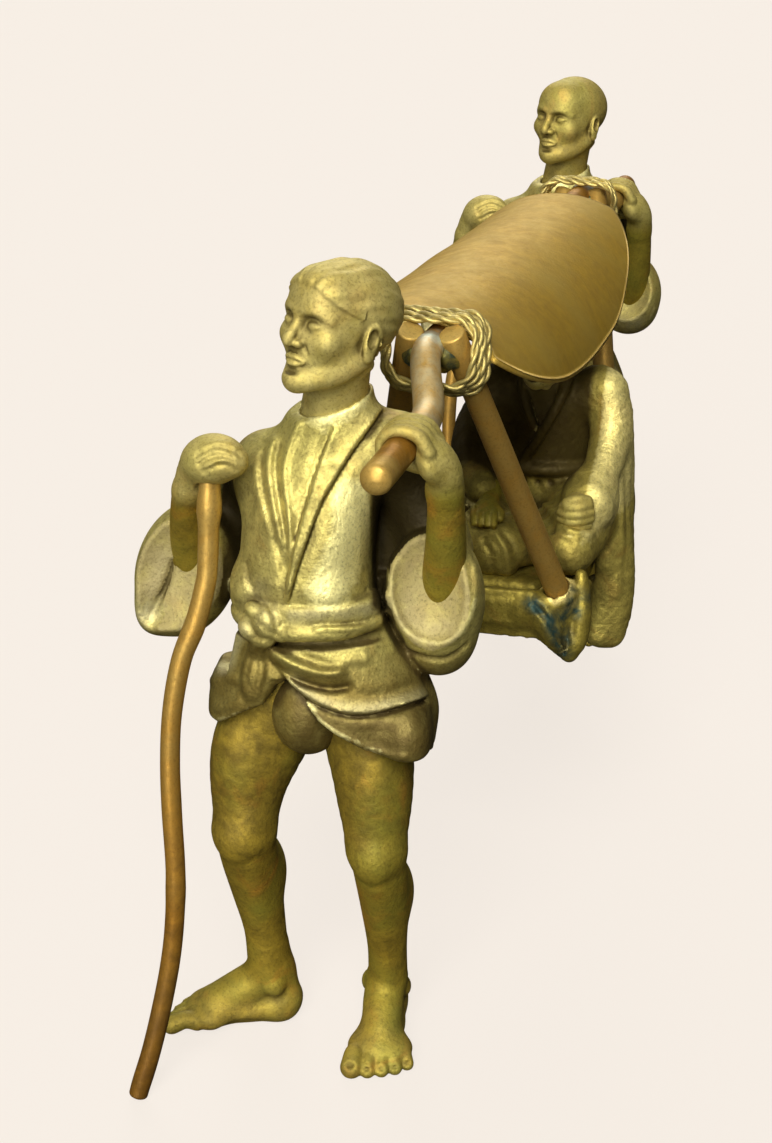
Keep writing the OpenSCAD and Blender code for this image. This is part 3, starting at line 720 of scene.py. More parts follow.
    # right sleeve: a wide bell with its mouth to the front
    v.add(chain([(-16.5, 5.8, 121.5, 6.2), (-22, 7.4, 114, 6.4), (-28, 6.6, 105.5, 7.4), (-31.5, 5.2, 99, 8.0)]), 2.0)
    tilt = rot(y=20)
    v.add(ell((-31.4, 0.6, 101.0), (9.8, 8.0, 14.4), tilt), 1.5)
    v.add(ell((-36.6, 0.4, 93.4), (4.8, 6.0, 6.4), rot(y=24)), 2.0)
    for a, b in (((-23, 12.4, 116), (-35, 8.4, 96)), ((-19, 11.8, 115), (-28, 11.2, 95))):
        v.cut(chain([(a[0], a[1] + 0.9, a[2], 0.3), (0.5 * (a[0] + b[0]) - 0.5, a[1] + 1.5, 0.5 * (a[2] + b[2]), 0.45), (b[0], b[1] + 0.9, b[2], 0.3)]), 2.4)
    mouth_r = ell((-31.4, -7.2, 102.4), (9.4, 5.6, 13.6), tilt)
    v.cut(mouth_r, 0.5)
    v.cut(ell((-36.2, -6.2, 94.4), (3.8, 4.0, 4.8), rot(y=24)), 1.2)
    v.cut(chain([(-37.4, -2.6, 93, 0.3), (-35.0, -1.6, 98, 0.6), (-33.4, -1.2, 103, 0.4)]), 1.2)
    # left sleeve
    v.add(chain([(9.0, 6, 126.5, 6.0), (13.0, 7.6, 117, 6.4), (16.0, 6.8, 108, 6.6)]), 2.5)
    if rear:
        v.add(ell((17.0, 1.6, 105.0), (9.4, 7.8, 11.2), rot(y=-4)), 1.5)
        v.add(ell((17.4, 2.8, 100.0), (7.4, 6.4, 6.8)), 2.0)
        mouth_l = ell((17.2, -7.3, 108.4), (8.8, 6.8, 10.4), rot(y=-4))
    else:
        v.add(ell((17.0, 1.6, 101.0), (9.2, 8.0, 13.6), rot(y=-4)), 0.4)
        v.add(ell((17.3, 3.0, 92.4), (7.1, 6.6, 7.9)), 2.0)
        mouth_l = ell((17.2, -7.4, 106.4), (8.7, 6.8, 13.7), rot(y=-4))
    for a, b in (((13, 13.6, 120), (18, 10.4, 99)), ((9.5, 12.8, 118), (13, 11.0, 99))):
        v.cut(chain([(a[0], a[1] + 0.7, a[2], 0.3), (0.5 * (a[0] + b[0]), a[1] + 1.0, 0.5 * (a[2] + b[2]), 0.45), (b[0], b[1] + 0.7, b[2], 0.3)]), 2.4)
    v.cut(mouth_l, 0.6)
    if not rear:
        v.emboss((8.0, -8, 84), (30, 0.5, 119), [([(395, 545), (390, 580), (393, 604), (404, 627), (422, 640), (447, 642), (465, 628), (475, 604), (477, 578), (472, 548)], 0.6, 4.6)])
        v.emboss((2, -9, 90), (12, 2, 112), [([(380, 560), (381, 590), (385, 612), (394, 634), (404, 648)], -1.6, 3.4)])
        v.cut(v.line([(392, 622, 0.3), (404, 645, 0.5), (422, 657, 0.6), (446, 659, 0.6), (466, 645, 0.4)], 0.0), 0.8)
    # hollow where the pole lies, neck opening that rises to the left shoulder
    v.cut(cone((14.1, -30, 133.4), 3.15, (14.1, 40, 133.4), 3.15), 0.7)
    v.cut(((-14, -9, 131), (9, 13, 146), lambda X, Y, Z: (136.9 + 0.33 * (X + 2.5) + 0.17 * (Y - 2)) - Z), 1.0)
    v.cut(cone((-2.7, 2.3, 132.4), 5.7, (-1.4, 1.2, 146), 6.8), 0.6)
    V, Q, at = v.mesh(2)
    d = np.zeros(len(V))
    for lo, hi, f in (mouth_r, mouth_l):
        d = np.maximum(d, (np.abs(f(V[:, 0], V[:, 1], V[:, 2])) < 0.8) & (V[:, 2] < 119) & ((V[:, 0] < -28) | ((V[:, 0] < -20) & (V[:, 2] > 94)) | (V[:, 0] > 9)))
    at["dust"] = d.astype(float) * (0.35 if rear else 0.8)
    at["dark_patina_and_shade"] = at["dark_patina_and_shade"] * (1 - 0.5 * d)
    # deep shade between body and sleeves
    soft = lambda q, a, b: np.clip((q - a) / 1.5, 0, 1) * np.clip((b - q) / 1.5, 0, 1)
    x, y, z = V.T
    pit = np.maximum(soft(x, 3.6, 12.4) * soft(z, 96, 127) * np.clip((y + 1.8) / 1.5, 0, 1), soft(x, -25, -16.5) * soft(z, 99, 122) * np.clip((y + 2.5) / 1.5, 0, 1)) * np.clip((9.5 - y) / 1.5, 0, 1)
    pit = np.maximum(pit, soft(x, 6.4, 16.5) * soft(z, 106, 128) * np.clip((6 - y) / 1.5, 0, 1) * np.clip((y + 8.5) / 2, 0, 1))
    at["dark_patina_and_shade"] = np.maximum(at["dark_patina_and_shade"], 0.95 * pit * (1 - d))
    at["painted_shade"] = 0.75 * pit * (1 - d)
    low = np.clip((93.5 - V[:, 2]) / 7.0, 0, 1) * 0.95
    sling = np.clip(1.6 - np.linalg.norm((V - np.array([-6.0, -4.0, 76.0])) / np.array([7.4, 9.0, 9.2]), axis=1), 0, 0.5) * 2
    tail = np.clip(1.7 - np.linalg.norm((V - t) / np.array([4.4, 3.4, 7.2]), axis=1), 0, 0.5) * 2
    # pale bloom on faces that catch dust and on rubbed borders
    us, vs = seen(V.astype(F32))
    pale = np.zeros(len(V), F32)
    for run, wide, high in (([(290, 679), (305, 692), (326, 703), (347, 709), (371, 709), (395, 703), (422, 694)], 7.0, 0.45),
                            ([(292, 616), (320, 615), (350, 612), (388, 606)], 7.0, 0.45),
                            ([(207, 664), (224, 662), (243, 660)], 9.0, 0.6), ([(240, 630), (236, 645), (230, 658)], 10.0, 0.6),
                            ([(360, 392), (384, 402), (393, 424)], 15.0, 0.4), ([(146, 612), (157, 590), (165, 560)], 14.0, 0.9),
                            ([(255, 590), (262, 606), (270, 616)], 12.0, 0.3), ([(430, 560), (408, 610), (424, 628), (452, 626)], 10.0, 0.5)):
        dd, _, _ = trail(us, vs, run)
        pale = np.maximum(pale, high * np.exp(-((dd / wide) ** 2)))
    # painted highlight: a bright patch down the chest below the pole's end; the rim of the left sleeve's mouth is
    # brightened as well
    for run, wide, high in (([(352, 500), (354, 530), (343, 560), (328, 590)], 27.0, 1.0), ([(390, 575), (393, 604), (404, 627), (422, 640), (447, 642), (465, 628), (476, 600)], 5.0, 0.62)):
        dd, _, _ = trail(us, vs, run)
        at["edge"] = np.maximum(at["edge"], high * np.exp(-((dd / wide) ** 2)) * np.clip((1.0 - V[:, 1]) / 3.0, 0, 1))
    at["pale"] = pale * np.clip((0.5 - V[:, 1]) / 3.0, 0, 1) * (1 - tail)
    at["edge"] = at["edge"] * (1 - 0.7 * np.clip((V[:, 1] + 1.0) / 3.0, 0, 1))
    # painted shade: near black in the gap between chest and left forearm, where the pole and hand throw their shadow;
    # brightening is taken out there, in the other shaded gaps and round the spur
    gap = np.clip((us - 369) / 7, 0, 1) * np.clip((388 - us) / 3, 0, 1) * np.clip((vs - 470) / 8, 0, 1) * np.clip((618 - vs) / 16, 0, 1) * np.clip((x - 4.5), 0, 1) * np.clip((10.5 - x), 0, 1) * (1 - d)
    at["dark_patina_and_shade"] = np.maximum(at["dark_patina_and_shade"], 0.95 * gap)
    at["painted_shade"] = np.maximum(at["painted_shade"], 0.85 * gap)
    at["edge"] = at["edge"] * (1 - np.clip(1.6 * np.maximum(gap, pit), 0, 1)) * (1 - np.clip(2 - np.linalg.norm(V - spur, axis=1) / 2.2, 0, 1))
    # painted shade: a brown darkening below the lapped fold of the front, where the overlap throws its shadow
    lap = np.interp(us, [266, 284, 305, 326, 347, 371, 395, 422, 438], [652, 677, 697, 708, 714, 714, 708, 699, 692])
    under = np.clip((vs - lap - 3) / 6, 0, 1) * np.clip((us - 285) / 12, 0, 1) * np.clip((2 - y) / 3, 0, 1) * np.clip((90 - z) / 4, 0, 1)
    at["dark_patina_and_shade"] = np.maximum(at["dark_patina_and_shade"], 0.40 * under)
    at["olive"] = np.maximum(np.maximum(low, sling), tail) * (1 - 0.7 * at["pale"])
    return V, Q, at


# ---------------------------------------------------------------- bearer: limbs
def toes(v, base, tips, radii):
    for (b, t, r) in zip(base, tips, radii):
        b, t = np.array(b, float), np.array(t, float)
        m = 0.55 * b + 0.45 * t + np.array([0, 0, 0.9])
        v.add(chain([(*b, r * 0.9), (*m, r * 0.92), (*t, r)], 3), 0.35)
        n = t - b
        n /= np.linalg.norm(n)
        v.cut(ell(t + n * r * 0.75 + np.array([0, 0, r * 0.75]), (r * 0.55, r * 0.4, r * 0.3)), 0.2)


def right_leg():
    v = Vol((-42, -17, -1.5), (-2, 16, 84), 0.42)
    v.add(chain([(-12.6, 1.0, 81, 9.4), (-15.4, -0.6, 71, 9.0), (-18.3, -3.4, 60, 7.2), (-18.9, -6.4, 51, 6.1)]), 0)
    v.add(ell((-19.2, -4.4, 64.0), (6.2, 7.0, 12)), 3)
    v.add(chain([(-18.9, -6.2, 50, 5.9), (-19.2, -3.0, 42, 5.6), (-19.0, 0.2, 33, 5.1), (-18.3, 2.2, 23, 4.3), (-18.0, 3.0, 14, 4.3)]), 2)
    v.add(ell((-19.4, 2.6, 37.5), (5.5, 5.0, 9.5), rot(x=18)), 2.5)
    v.add(ell((-19.2, -10.2, 49.8), (3.2, 2.3, 3.8)), 2.6)
    v.add(ell((-16.8, -8.6, 53.8), (2.4, 2.3, 3.6)), 2.6)
    v.add(chain([(-17.4, -8.4, 44, 1.6), (-17.2, -4.2, 34, 1.2), (-17.2, -0.4, 24, 0.6), (-17.2, 1.2, 18, 0.4)]), 3.0)
    v.cut(chain([(-24.4, -6.0, 52, 0.8), (-24.6, -2.0, 48, 0.9), (-22.6, 2.6, 47, 0.6)]), 2.0)
    # foot: turned well out
    f = np.array([-0.944, -0.330, 0])
    s = np.array([0.330, -0.944, 0])
    c = np.array([-18.0, 3.6, 0])
    at = lambda a, b, z: c + f * a + s * b + np.array([0, 0, z])
    M = np.stack([f, s, [0, 0, 1]], 1)
    v.add(ell(at(-1.9, 0, 4.2), (4.6, 4.2, 4.6), M), 1.5)
    v.add(chain([(*at(-0.5, 0, 11.5), 4.2), (*at(5.5, 0.3, 8.0), 4.0), (*at(11.0, 0.6, 5.2), 3.5)]), 2.0)
    v.add(ell(at(6.0, 0.2, 3.4), (10.5, 4.4, 3.6), M), 2.0)
    v.add(ell(at(12.5, 0.6, 3.0), (5.2, 6.2, 3.2), M), 2.0)
    v.add(chain([(*at(-0.8, 0, 18), 2.6), (*at(-2.8, 0, 11), 2.5), (*at(-3.2, 0, 6), 3.0)]), 2.0)
    v.add(ell(at(-1.0, 4.0, 10.0), (1.8, 1.2, 1.9), M), 1.5)
    v.add(ell(at(-1.4, -4.0, 9.0), (1.8, 1.2, 1.9), M), 1.5)
    v.cut(ell(at(4.5, 5.2, 0.2), (6.0, 2.0, 2.0), M), 1.5)
    toes(v, [at(15.2, 4.4, 2.4), at(15.8, 1.9, 2.3), at(15.4, -0.3, 2.2), at(14.6, -2.4, 2.1), at(13.2, -4.3, 2.0)],
         [at(20.4, 4.3, 1.9), at(20.2, 1.5, 1.5), at(19.2, -0.8, 1.45), at(17.8, -3.0, 1.4), at(15.8, -5.0, 1.35)], [2.0, 1.5, 1.4, 1.35, 1.3])
    v.above(0.0, 0.5)
    return v.mesh(2)


def left_leg():
    v = Vol((-8, -17, -1.5), (23, 19, 84), 0.42)
    v.add(chain([(3.0, 1.0, 81, 9.2), (4.8, -0.4, 71, 8.7), (6.6, -3.0, 60, 7.1), (7.9, -6.0, 50.5, 5.6)]), 0)
    v.add(ell((7.0, -4.4, 63.0), (5.9, 6.2, 12)), 3)
    v.add(chain([(7.9, -5.8, 49.5, 5.4), (7.8, -2.4, 41, 5.1), (7.4, 1.4, 32, 4.7), (7.0, 4.4, 22, 4.0), (6.6, 6.4, 13.5, 4.0)]), 2)
    v.add(ell((7.4, 4.0, 36.0), (5.0, 4.8, 9.5), rot(x=20)), 2.5)
    v.add(ell((8.0, -9.7, 48.8), (3.0, 2.2, 3.6)), 2.6)
    v.add(ell((5.4, -7.8, 52.6), (2.2, 2.2, 3.6)), 2.6)
    v.add(chain([(8.2, -7.2, 43, 1.5), (7.6, -2.6, 33, 1.1), (7.0, 1.4, 24, 0.6), (6.8, 3.6, 18, 0.4)]), 3.0)
    v.cut(chain([(2.6, -5.0, 51, 0.7), (2.6, -1.0, 47, 0.8)]), 2.0)
    f = np.array([0.112, -0.994, 0])
    s = np.array([-0.994, -0.112, 0])
    c = np.array([5.8, 7.4, 0])
    at = lambda a, b, z: c + f * a + s * b + np.array([0, 0, z])
    M = np.stack([f, s, [0, 0, 1]], 1)
    v.add(ell(at(-3.0, 0, 4.4), (4.6, 4.2, 4.8), M), 1.5)
    v.add(chain([(*at(-0.2, 0, 11.2), 4.0), (*at(4.6, -0.2, 8.2), 4.1), (*at(9.5, -0.6, 5.4), 3.7)]), 2.0)
    v.add(ell(at(5.5, -0.2, 3.4), (10.0, 4.6, 3.6), M), 2.0)
    v.add(ell(at(11.6, -0.8, 3.1), (4.8, 6.6, 3.3), M), 2.0)
    v.add(chain([(*at(-0.6, 0, 18), 2.6), (*at(-3.2, 0, 11), 2.5), (*at(-4.2, 0, 6), 3.0)]), 2.0)
    v.add(ell(at(-1.0, 3.9, 10.0), (1.8, 1.2, 1.9), M), 1.5)
    v.add(ell(at(-1.4, -3.9, 9.0), (1.8, 1.2, 1.9), M), 1.5)
    v.cut(ell(at(4.0, 5.2, 0.2), (6.0, 2.0, 2.0), M), 1.5)
    toes(v, [at(13.6, 3.7, 2.5), at(14.2, 0.8, 2.4), at(13.9, -1.6, 2.3), at(13.2, -3.8, 2.2), at(12.0, -5.8, 2.1)],
         [at(18.0, 3.9, 2.1), at(17.9, 0.7, 1.7), at(17.2, -2.0, 1.6), at(16.0, -4.5, 1.5), at(14.2, -6.7, 1.45)], [2.3, 1.65, 1.55, 1.5, 1.4])
    v.above(0.0, 0.5)
    return v.mesh(2)


STICK_TOP = np.array([-21.6, -10.0, 130.0])
STICK_LOW = np.array([-22.2, -12.2, 108.0])


def arc(c, a, b, r0, angles, radii, r1=None):
    """Finger: round a rod of centre c, in the plane of a and b."""
    return [(*(np.array(c) + np.array(a) * (R * math.cos(math.radians(t))) + np.array(b) * (R * math.sin(math.radians(t)))), w)
            for t, R, w in zip(angles, r0, radii)]


def right_arm():
    v = Vol((-38, -19, 92), (-11, 12, 136), 0.3)
    v.add(chain([(-31.4, 4.6, 98, 4.0), (-30.8, 2.0, 103, 4.0), (-29.7, -2.4, 111, 3.4), (-28.4, -5.8, 117, 2.9), (-27.4, -7.3, 120.4, 2.8)]), 0)
    # the hand arches over the head of the stick, the fingers lie close together
    v.add(chain([(-27.4, -7.3, 120.2, 2.8), (*spot(197, 469, -8.3), 3.5), (*spot(210, 458, -9.3), 4.1), (*spot(222, 457, -10.2), 3.9), (*spot(232, 461, -10.6), 3.0)]), 1.0)
    v.add(ell(spot(211, 461, -9.6), (5.2, 4.6, 4.3)), 1.5)
    v.add(chain([(-26.0, -6.4, 124.6, 1.9), (-23.4, -5.8, 127.6, 1.8), (-20.8, -6.2, 128.4, 1.6), (-19.0, -8.0, 127.4, 1.2)]), 0.8)
    v.emboss((-30, -19, 118), (-11, -4, 136), [
        ([(193, 458), (208, 449), (221, 447), (237, 454), (243, 462)], -0.36, 2.4),
        ([(196, 466), (211, 457), (224, 456), (239, 464), (243, 469)], -0.40, 2.4),
        ([(200, 473), (214, 466), (226, 465), (239, 472)], -0.36, 2.4),
        ([(200, 451), (214, 443), (228, 443), (241, 449)], 0.2, 3.0),
        ([(203, 470), (217, 461.5), (231, 461), (244, 468)], 0.25, 2.6),
    ])
    ax = STICK_LOW - STICK_TOP
    ax /= np.linalg.norm(ax)
    v.cut(cone(STICK_TOP + ax * 2.2, 2.02, STICK_TOP + ax * 20, 2.02), 0.15)
    v.cut(ell(STICK_TOP + ax * 8.6, (3.0, 2.8, 2.0)), 0.8)
    return v.mesh(2)


def left_arm():
    v = Vol((3, -20, 92), (30, 12, 143), 0.3)
    v.add(chain([(18.0, 3.0, 100.2, 3.8), (18.4, 1.4, 104.5, 3.9), (19.6, -1.6, 111, 3.8), (20.5, -5.0, 119.5, 3.4), (20.7, -7.0, 125, 3.2)]), 0)
    v.add(chain([(20.7, -7.0, 124.6, 3.2), (20.9, -8.6, 128.6, 3.3), (19.6, -9.6, 131.8, 3.2), (17.6, -10.0, 134.0, 2.4)]), 1.2)
    v.add(ell((19.2, -10.0, 131.2), (2.7, 4.5, 4.2), rot(y=-25)), 1.2)
    for y, r, e in ((-6.8, 1.12, 196), (-8.9, 1.18, 204), (-11.1, 1.16, 200), (-13.2, 1.04, 190)):
        c = np.array([14.1, y, 133.4])
        pts = arc(c, np.array([1.0, 0, 0]), np.array([0, 0, 1.0]), [5.2, 4.6, 3.9, 3.65, 3.6, 3.6], [4, 40, 78, 115, 155, e + 20], [r * 1.25, r * 1.2, r * 1.1, r * 1.05, r, r * 0.9])
        v.add(chain(pts, 4), 0.55)
    v.add(chain([(19.6, -6.8, 129.4, 2.0), (17.2, -5.8, 128.6, 1.7), (14.0, -5.8, 128.9, 1.5), (11.2, -6.4, 130.2, 1.25)]), 0.7)
    v.cut(cone((14.1, -40, 133.4), 2.93, (14.1, 40, 133.4), 2.93), 0.15)
    return v.mesh(2)


# ---------------------------------------------------------------- heads, built face to -Y and turned into place
def head(hair, scale=1.0, base=(0.4, 3.2, -22.0), thick=5.9):
    v = Vol((-11, -14, -24), (11, 14, 13.5), 0.25)
    v.add(ell((0, 1.3, 3.0), (8.1, 9.9, 8.2)), 0)
    v.add(ell((0, -3.0, -2.0), (6.7, 6.6, 9.0)), 2.0)
    v.add(ell((0, -5.6, 4.2), (5.8, 4.2, 5.0)), 2.5)
    for s in (-1, 1):
        v.add(chain([(s * 5.6, 0.6, -4.6, 2.2), (s * 4.6, -2.6, -7.4, 2.0), (s * 2.2, -6.4, -9.4, 1.9), (0, -7.4, -9.8, 1.9)], 3), 1.6)
        v.add(ell((s * 4.5, -6.2, -2.5), (2.3, 2.2, 2.2)), 1.8)
    v.add(ell((0, -7.7, -9.5), (2.1, 1.9, 1.9)), 1.2)
    # brow, eyes with lowered lids
    v.add(chain([(-5.4, -6.9, 1.3, 0.5), (-3.4, -8.6, 2.2, 0.8), (-1.2, -9.2, 1.7, 0.7), (0, -9.3, 1.4, 0.6), (1.2, -9.2, 1.7, 0.7), (3.4, -8.6, 2.2, 0.8), (5.4, -6.9, 1.3, 0.5)], 3), 1.4)
    for s in (-1, 1):
        v.cut(ell((s * 3.1, -10.0, 0.1), (2.3, 2.0, 1.35), rot(z=-s * 14)), 1.2)
        v.add(ell((s * 3.15, -7.75, -0.15), (1.75, 1.4, 1.2)), 0.5)
        v.cut(chain([(s * 1.5, -9.15, -0.55, 0.1), (s * 2.4, -9.3, -0.8, 0.17), (s * 3.3, -9.25, -0.85, 0.17), (s * 4.7, -8.4, -0.5, 0.1)], 3), 0.2)
        v.cut(chain([(s * 1.7, -9.0, 0.75, 0.08), (s * 3.0, -9.1, 1.05, 0.14), (s * 4.6, -8.3, 0.6, 0.08)], 3), 0.3)
    # nose, mouth
    v.add(chain([(0, -8.7, 1.6, 0.75), (0, -9.6, -0.6, 0.85), (0, -10.7, -2.6, 1.05), (0, -10.75, -3.3, 1.05)], 3), 0.8)
    for s in (-1, 1):
        v.add(ell((s * 1.3, -9.6, -3.5), (0.85, 1.0, 0.75)), 0.5)
        v.cut(ell((s * 0.6, -10.3, -4.25), (0.3, 0.42, 0.28)), 0.2)
        v.cut(chain([(s * 2.3, -8.9, -3.6, 0.08), (s * 2.9, -8.6, -5.0, 0.1)], 3), 0.7)
    v.add(chain([(-2.4, -8.6, -6.4, 0.2), (-1.0, -9.3, -5.8, 0.5), (0, -9.35, -5.9, 0.42), (1.0, -9.3, -5.8, 0.5), (2.4, -8.6, -6.4, 0.2)], 3), 0.4)
    v.add(chain([(-2.1, -8.6, -6.7, 0.2), (0, -9.2, -7.1, 0.62), (2.1, -8.6, -6.7, 0.2)], 4), 0.5)
    v.cut(chain([(-2.5, -8.7, -6.55, 0.08), (0, -9.9, -6.42, 0.15), (2.5, -8.7, -6.55, 0.08)], 4), 0.2)
    v.cut(ell((0, -9.4, -8.3), (1.7, 0.7, 0.5)), 0.8)
    # ears
    for s in (-1, 1):
        v.add(ell((s * 7.7, 0.9, -1.1), (1.1, 2.1, 3.3), rot(x=-12, z=s * 22)), 0.6)
        v.cut(ell((s * 8.6, 0.3, -0.7), (0.8, 1.1, 1.7), rot(x=-12, z=s * 22)), 0.4)
        v.add(ell((s * 8.0, 0.4, -3.8), (0.8, 1.0, 1.1)), 0.5)
        v.cut(chain([(s * 8.75, 1.2, 1.0, 0.15), (s * 8.95, 2.2, -0.4, 0.2), (s * 8.7, 1.8, -2.4, 0.15)], 3), 0.3)
    # neck
    base = np.array(base)
    v.add(cone((0, 1.8, -6), 5.2, base, thick), 2.0)
    for s in (-1, 1):
        v.add(chain([(s * 5.4, 3.0, -5.5, 1.0), tuple(0.5 * np.array([s * 5.4, 1.2, -5.5]) + 0.5 * base + np.array([0, -2.6, 0.5])) + (1.1,), tuple(base + np.array([s * 1.6, -4.4, 2.5])) + (1.0,)], 3), 1.6)
    # hair, combed back from the brow
    if hair != "none":
        def fringe(X, Y, Z):
            if hair == "combed":
                line = np.where(Y < -1.5, 5.9 - 0.55 * (Y + 1.5) * 0.1 - 0.075 * X * X * 0.9, np.where(Y < 2.6, 3.4 - 1.1 * (Y + 1.5), -2.2 - 0.9 * (Y - 2.6)))
                line = np.maximum(line, -8.0)
            else:
                line = np.where(Y < 2.0, 40.0, 1.0 - 1.0 * (Y - 2.0) + 0 * X)
            return np.clip((Z - line) / 0.9, 0, 1)

        def strands(X, Y, Z):
            phi = np.arctan2(X, Z + 2.0 + 0 * Y)
            wave = np.sin(22 * phi + 0.9 * np.sin(0.7 * Y + 2 * phi)) * 0.6 + 0.4 * np.sin(37 * phi + 0.8 * np.sin(0.5 * Y - phi) + 1.3)
            return -fringe(X, Y, Z) * (0.40 + 0.14 * wave)

        v.push((-11, -12, -9), (11, 14, 13.4), strands)
    if hair == "bun":
        v.add(ell((0, 9.2, 6.2), (2.6, 2.6, 2.4)), 0.6)
    V, Q, at = v.mesh(1)
    return V * scale, Q, at


def placed(V, place, turn, nod=0.0, tip=0.0):
    M = rot(z=turn) @ rot(x=nod) @ rot(y=tip)
    return V @ M.T + np.array(place)


# ---------------------------------------------------------------- sticks, pole, struts, ropes
def wob(n, seed, amp):
    r = np.random.default_rng(seed).normal(size=n)
    for _ in range(3):
        r = np.convolve(np.pad(r, 2, mode="edge"), [0.1, 0.2, 0.4, 0.2, 0.1], "valid")
    return amp * r


STICK_RUN = [(-21.66, -10.2, 128), (-22.0, -11.4, 116), (-22.2, -12.2, 108), (-22.6, -12.9, 104), (-24.2, -14.3, 97), (-26.6, -16, 90), (-28.2, -17.6, 80), (-28.6, -18.8, 70),
             (-28.2, -20, 60), (-27.6, -21, 48), (-27.8, -22, 38), (-28.6, -23.2, 29), (-30.2, -25, 19), (-32, -26.9, 10), (-33.8, -28.5, 3), (-34.3, -28.95, 0.9)]


def stick(seed):
    q = curve(STICK_RUN, 6)
    r = 1.90 + wob(len(q), seed, 0.07) + 0.10 * np.exp(-((q[:, 2] - 96) / 3.0) ** 2) + 0.1 * np.exp(-((q[:, 2] - 44) / 2.5) ** 2) + 0.5 * np.exp(-((q[:, 2] - 118.6) / 2.6) ** 2)
    V, Q = tube(np.column_stack([q, r]), 22, (0, 1, 0), 0.4)
    V[:, 2] = np.maximum(V[:, 2], 0.0)
    return V, Q


def flat_tube(a, b, r, seed, rings=26, sides=24, bow=(0, 0, 0)):
    """Straight rod with cleanly cut ends and a softened rim."""
    a, b = np.array(a, float), np.array(b, float)
    t = np.linspace(0, 1, rings)
    P = a[None] + (b - a)[None] * t[:, None] + np.array(bow)[None] * np.sin(math.pi * t)[:, None]
    rr = r + wob(rings, seed, 0.07)
    rr[0] -= 0.25
    rr[-1] -= 0.25
    q = np.column_stack([P, rr])
    d = (b - a) / np.linalg.norm(b - a)
    q[1, :3] = a + d * 0.3
    q[-2, :3] = b - d * 0.3
    return tube(q, sides, (0, 1, 0), 0.05)


def rope_turn(y, top, low, half, seed, back=0.0, thick=0.47, lay=7.4):
    """One turn of two-strand wire rope drawn tight round the strut tops and the pole."""
    R = 4.4
    parts = [("arc", MX + half - R, top - R, 90, 0), ("arc", MX + half - R, low + R, 0, -90), ("arc", MX - half + R, low + R, -90, -180), ("arc", MX - half + R, top - R, -180, -270)]
    pts = []
    for _, cx, cz, a0, a1 in parts:
        for t in np.radians(np.linspace(a0, a1, 14)):
            pts.append((cx + R * math.cos(t), cz + R * math.sin(t)))
    pts.append(pts[0])
    pts = np.array(pts)
    L = np.concatenate([[0], np.cumsum(np.linalg.norm(np.diff(pts, axis=0), axis=1))])
    n = 190
    s = np.linspace(0, L[-1], n)
    ph = np.random.default_rng(seed).uniform(0, 6)
    w = 2 * math.pi * s / L[-1]
    P = np.column_stack([np.interp(s, L, pts[:, 0]) + 0.2 * np.sin(3 * w + ph), y + 0.4 * np.sin(2 * w + ph) + back * np.clip((np.interp(s, L, pts[:, 1]) - 139.5) / 6, 0, 1), np.interp(s, L, pts[:, 1]) + 0.2 * np.cos(2 * w + ph)])
    T = np.gradient(P, axis=0)
    T /= np.linalg.norm(T, axis=1)[:, None]
    A = np.cross(T, [0, 1, 0])
    A /= np.linalg.norm(A, axis=1)[:, None]
    B = np.cross(T, A)
    tw = w * round(L[-1] / lay) + ph
    out = []
    for k in (0, math.pi):
        S = P + thick * 0.86 * (A * np.cos(tw + k)[:, None] + B * np.sin(tw + k)[:, None])
        out.append(tube(np.column_stack([S, np.full(n, thick)]), 10, (0, 1, 0), 0.6))
    return out


# ---------------------------------------------------------------- build the bearers
for who, y in (("front", 0.0), ("rear", GAP)):
    V, Q, A = robe(who == "rear")
    piece(made(f"{who}_robe", V, Q, ROBE, A, (0, y, 0)), f"{who}_bearer", "robe_bronze", f"{who}_bearer_robe")
for part, fn in (("right_leg", right_leg), ("left_leg", left_leg), ("right_arm", right_arm), ("left_arm", left_arm)):
    V, Q, A = fn()
    z = V[:, 2]
    A["pale"] = {"right_arm": 0.65 * np.clip((z - 117) / 4, 0, 1), "left_arm": 0.55 * np.clip((z - 124) / 5, 0, 1)}.get(part, 0.12 * np.clip((13 - z) / 7, 0, 1))
    if part.endswith("leg"):
        # painted shade on the upper legs below the skirt; the feet are a little darker too
        A["dark_patina_and_shade"] = np.maximum(A["dark_patina_and_shade"], np.maximum(0.16 * np.clip((14 - z) / 8, 0, 1), 0.32 * np.clip((z - 42) / 12, 0, 1)))
    for who, y in (("front", 0.0), ("rear", GAP)):
        piece(made(f"{who}_{part}", V, Q, SKIN, A, (0, y, 0)), f"{who}_bearer", "skin_bronze", f"{who}_bearer_{part}")
def set_head(hair, scale, place, turn, nod, collar, thick, pale=0.75):
    """A head in its place, with its neck run down to the middle of the collar."""
    M = rot(z=turn) @ rot(x=nod)
    V, Q, A = head(hair, scale, M.T @ (np.array(collar) - np.array(place)) / scale, thick)
    A["pale"] = np.full(len(V), pale)
    return placed(V, place, turn, nod), Q, A


V, Q, A = set_head("combed", 1.03, (-0.4, -0.2, 151.2), -33, -14, (-2.7, 2.2, 132.6), 5.7)
piece(made("front_head", V, Q, SKIN, A), "front_bearer", "skin_bronze", "front_bearer_head")
V, Q, A = set_head("none", 1.0, (-0.4, -0.2, 152.2), -27, -8, (-2.7, 2.2, 132.6), 5.7, 0.4)
piece(made("rear_head", V, Q, SKIN, A, (0, GAP, 0)), "rear_bearer", "skin_bronze", "rear_bearer_head")
for who, y, s in (("front", 0.0, 3), ("rear", GAP, 4)):
    V, Q = stick(s)
    # the staff is paler towards the top and darker towards the ground
    pale = np.clip((V[:, 2] - 40) / 80, 0, 1) * 0.75
    piece(made(f"{who}_staff", V, Q, ROD, {"pale": pale, "dark_patina_and_shade": 0.46 * np.clip((66 - V[:, 2]) / 50, 0, 1)}, (0, y, 0)), f"{who}_stick", "rod_bronze", f"{who}_stick")

